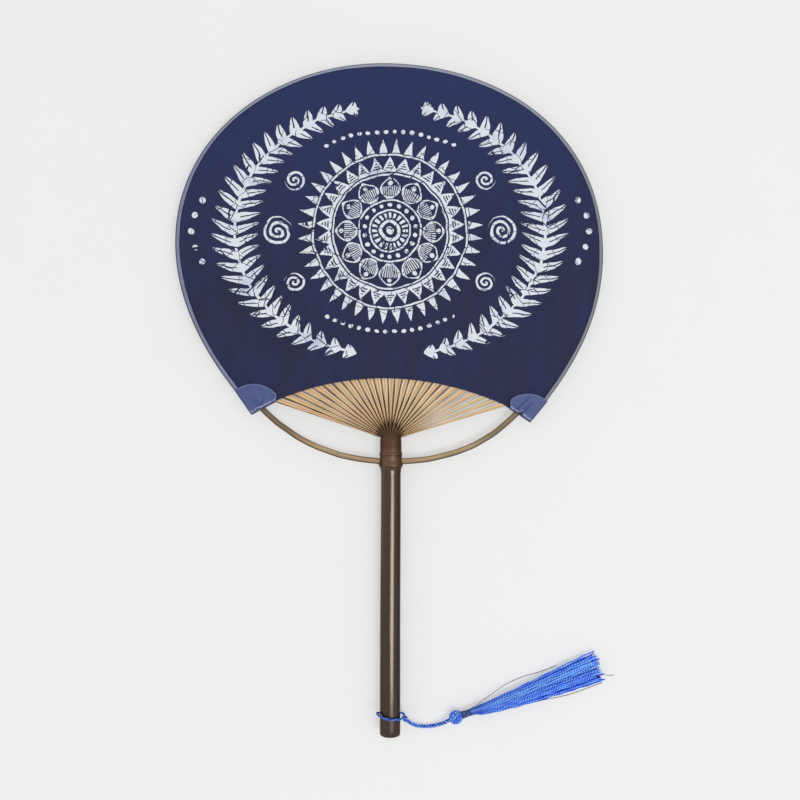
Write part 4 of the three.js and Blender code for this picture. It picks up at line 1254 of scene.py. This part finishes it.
def add_thread():
    """Thread woven over and under the ribs inside the leaf, and tied to the bow's tips."""
    line = arch(200) + (0, THREAD_ABOVE_ARCH)
    first, last = polar(line)[0][[0, -1]]
    ties = (bow_point(share) + (0, TIE_ABOVE_BOW) for share in (-TIE_SHARE, TIE_SHARE))
    left_tie, right_tie = ((*tie, 0.0) for tie in ties)
    points = [left_tie]
    for index in range(RIB_COUNT):
        angle = float(rib_angle(index))
        if not first < angle < last:
            continue
        reach = float(reach_to(line, angle))
        rib_width = RIB_FILL * rib_pitch(index) * min(reach, float(reach_to(LOWER_EDGE, angle)))
        middle = RIB_CENTRE + reach * np.array((math.sin(angle), math.cos(angle)))
        half = (rib_width / 2 + THREAD_CLEARANCE) * np.array((math.cos(angle), -math.sin(angle)))
        height = THREAD_LEVEL if index % 2 else -THREAD_LEVEL
        points += [(*(middle - half), height), (*(middle + half), height)]
    points.append(right_tie)
    shape = Shape().tube(resample(points, 700), THREAD_RADIUS, 6, seed=0.4)
    material = yarn_material("cotton_thread", (0.45, 0.40, 0.31), (0.80, 0.75, 0.64), 0.8)
    add_piece(shape.build("spacing_thread_cotton"), material, "fan", "spacing_thread")


# Stage: a pale table, one large soft lamp to the right, and an even white surround. Metres.
SHADOW_LIFT = 0.5  # how much paler the camera sees shadows on the table
TABLE_HALF_SIDE = 6.0
TABLE_LEVEL = -0.0001
LAMP_PLACE = (0.78, -0.62, 2.5)
LAMP_SIZE = (1.4, 0.9)
LAMP_POWER = 26.0
SURROUND_SEEN = 0.62
SURROUND_LIGHT = 0.69
SEEN_RAYS = ("Camera", "Glossy", "Transmission")


def seen_rays(tree):
    """1 for rays that bring a surface into the picture, straight or by way of gloss or glass."""
    rays = add_node(tree, "ShaderNodeLightPath", {}).outputs
    camera, gloss, glass = (Field(tree, rays[f"Is {kind} Ray"]) for kind in SEEN_RAYS)
    return camera | gloss | glass


def add_table():
    corners = [(-1, -1), (1, -1), (1, 1), (-1, 1)]
    points = [(x * TABLE_HALF_SIDE, y * TABLE_HALF_SIDE, TABLE_LEVEL) for x, y in corners]
    mesh = bpy.data.meshes.new("table")
    mesh.from_pydata(points, [], [(0, 1, 2, 3)])
    surface = Surface("pale_table", (0.855, 0.855, 0.85), roughness=0.9, specular_ior_level=0.1)
    x, y, _ = surface.place()
    surface.coat(surface.noise((x, y, 0.0), 0.02, 2.0), (0.865, 0.865, 0.862))
    surface.set(base_color=surface.paint)
    glow = surface.output(0, "ShaderNodeEmission", {"Color": surface.paint})
    inputs = {0: seen_rays(surface.tree) * SHADOW_LIFT, 1: surface.shader.outputs[0], 2: glow}
    lifted = surface.output(0, "ShaderNodeMixShader", inputs)
    connect(surface.tree, lifted, surface.tree.nodes["Material Output"].inputs["Surface"])
    mesh.materials.append(surface.material)
    add_object("table", mesh)


def add_light():
    data = bpy.data.lights.new("softbox", "AREA")
    data.shape = "RECTANGLE"
    data.size, data.size_y = LAMP_SIZE
    data.energy = LAMP_POWER
    lamp = add_object("softbox", data)
    lamp.location = LAMP_PLACE
    x, y, z = LAMP_PLACE
    lamp.rotation_euler = (math.atan2(-y, z), math.atan2(x, math.hypot(y, z)), 0)

    world = bpy.data.worlds.new("surround")
    bpy.context.scene.world = world
    world.use_nodes = True
    tree = world.node_tree
    surround = tree.nodes["Background"].inputs
    surround["Color"].default_value = (1, 1, 1, 1)
    strength = seen_rays(tree) * (SURROUND_SEEN - SURROUND_LIGHT) + SURROUND_LIGHT
    connect(tree, strength, surround["Strength"])
    bpy.context.scene.view_settings.view_transform = "Standard"


add_camera()
add_cords()
add_skirt()
add_strays()
add_cloth(1, "front_cloth_print", cloth_material("printed_indigo_cotton", True), "front_cloth")
add_cloth(-1, "back_cloth_plain", cloth_material("plain_indigo_cotton", False), "back_cloth")
add_tape()
patch = patch_material()
add_patch(LEFT_ARCH_END, LEFT_PATCH, "left_patch_cloth", patch, "left_corner_patch")
add_patch(RIGHT_ARCH_END, RIGHT_PATCH, "right_patch_cloth", patch, "right_corner_patch")
add_culm()
add_plug()
add_piece(bow_shape(0).build("bow_stick", 60), bow_material(), "fan", "bow")
splint = rib_material()
for rib in range(RIB_COUNT):
    add_rib(rib, splint)
add_thread()
add_table()
add_light()
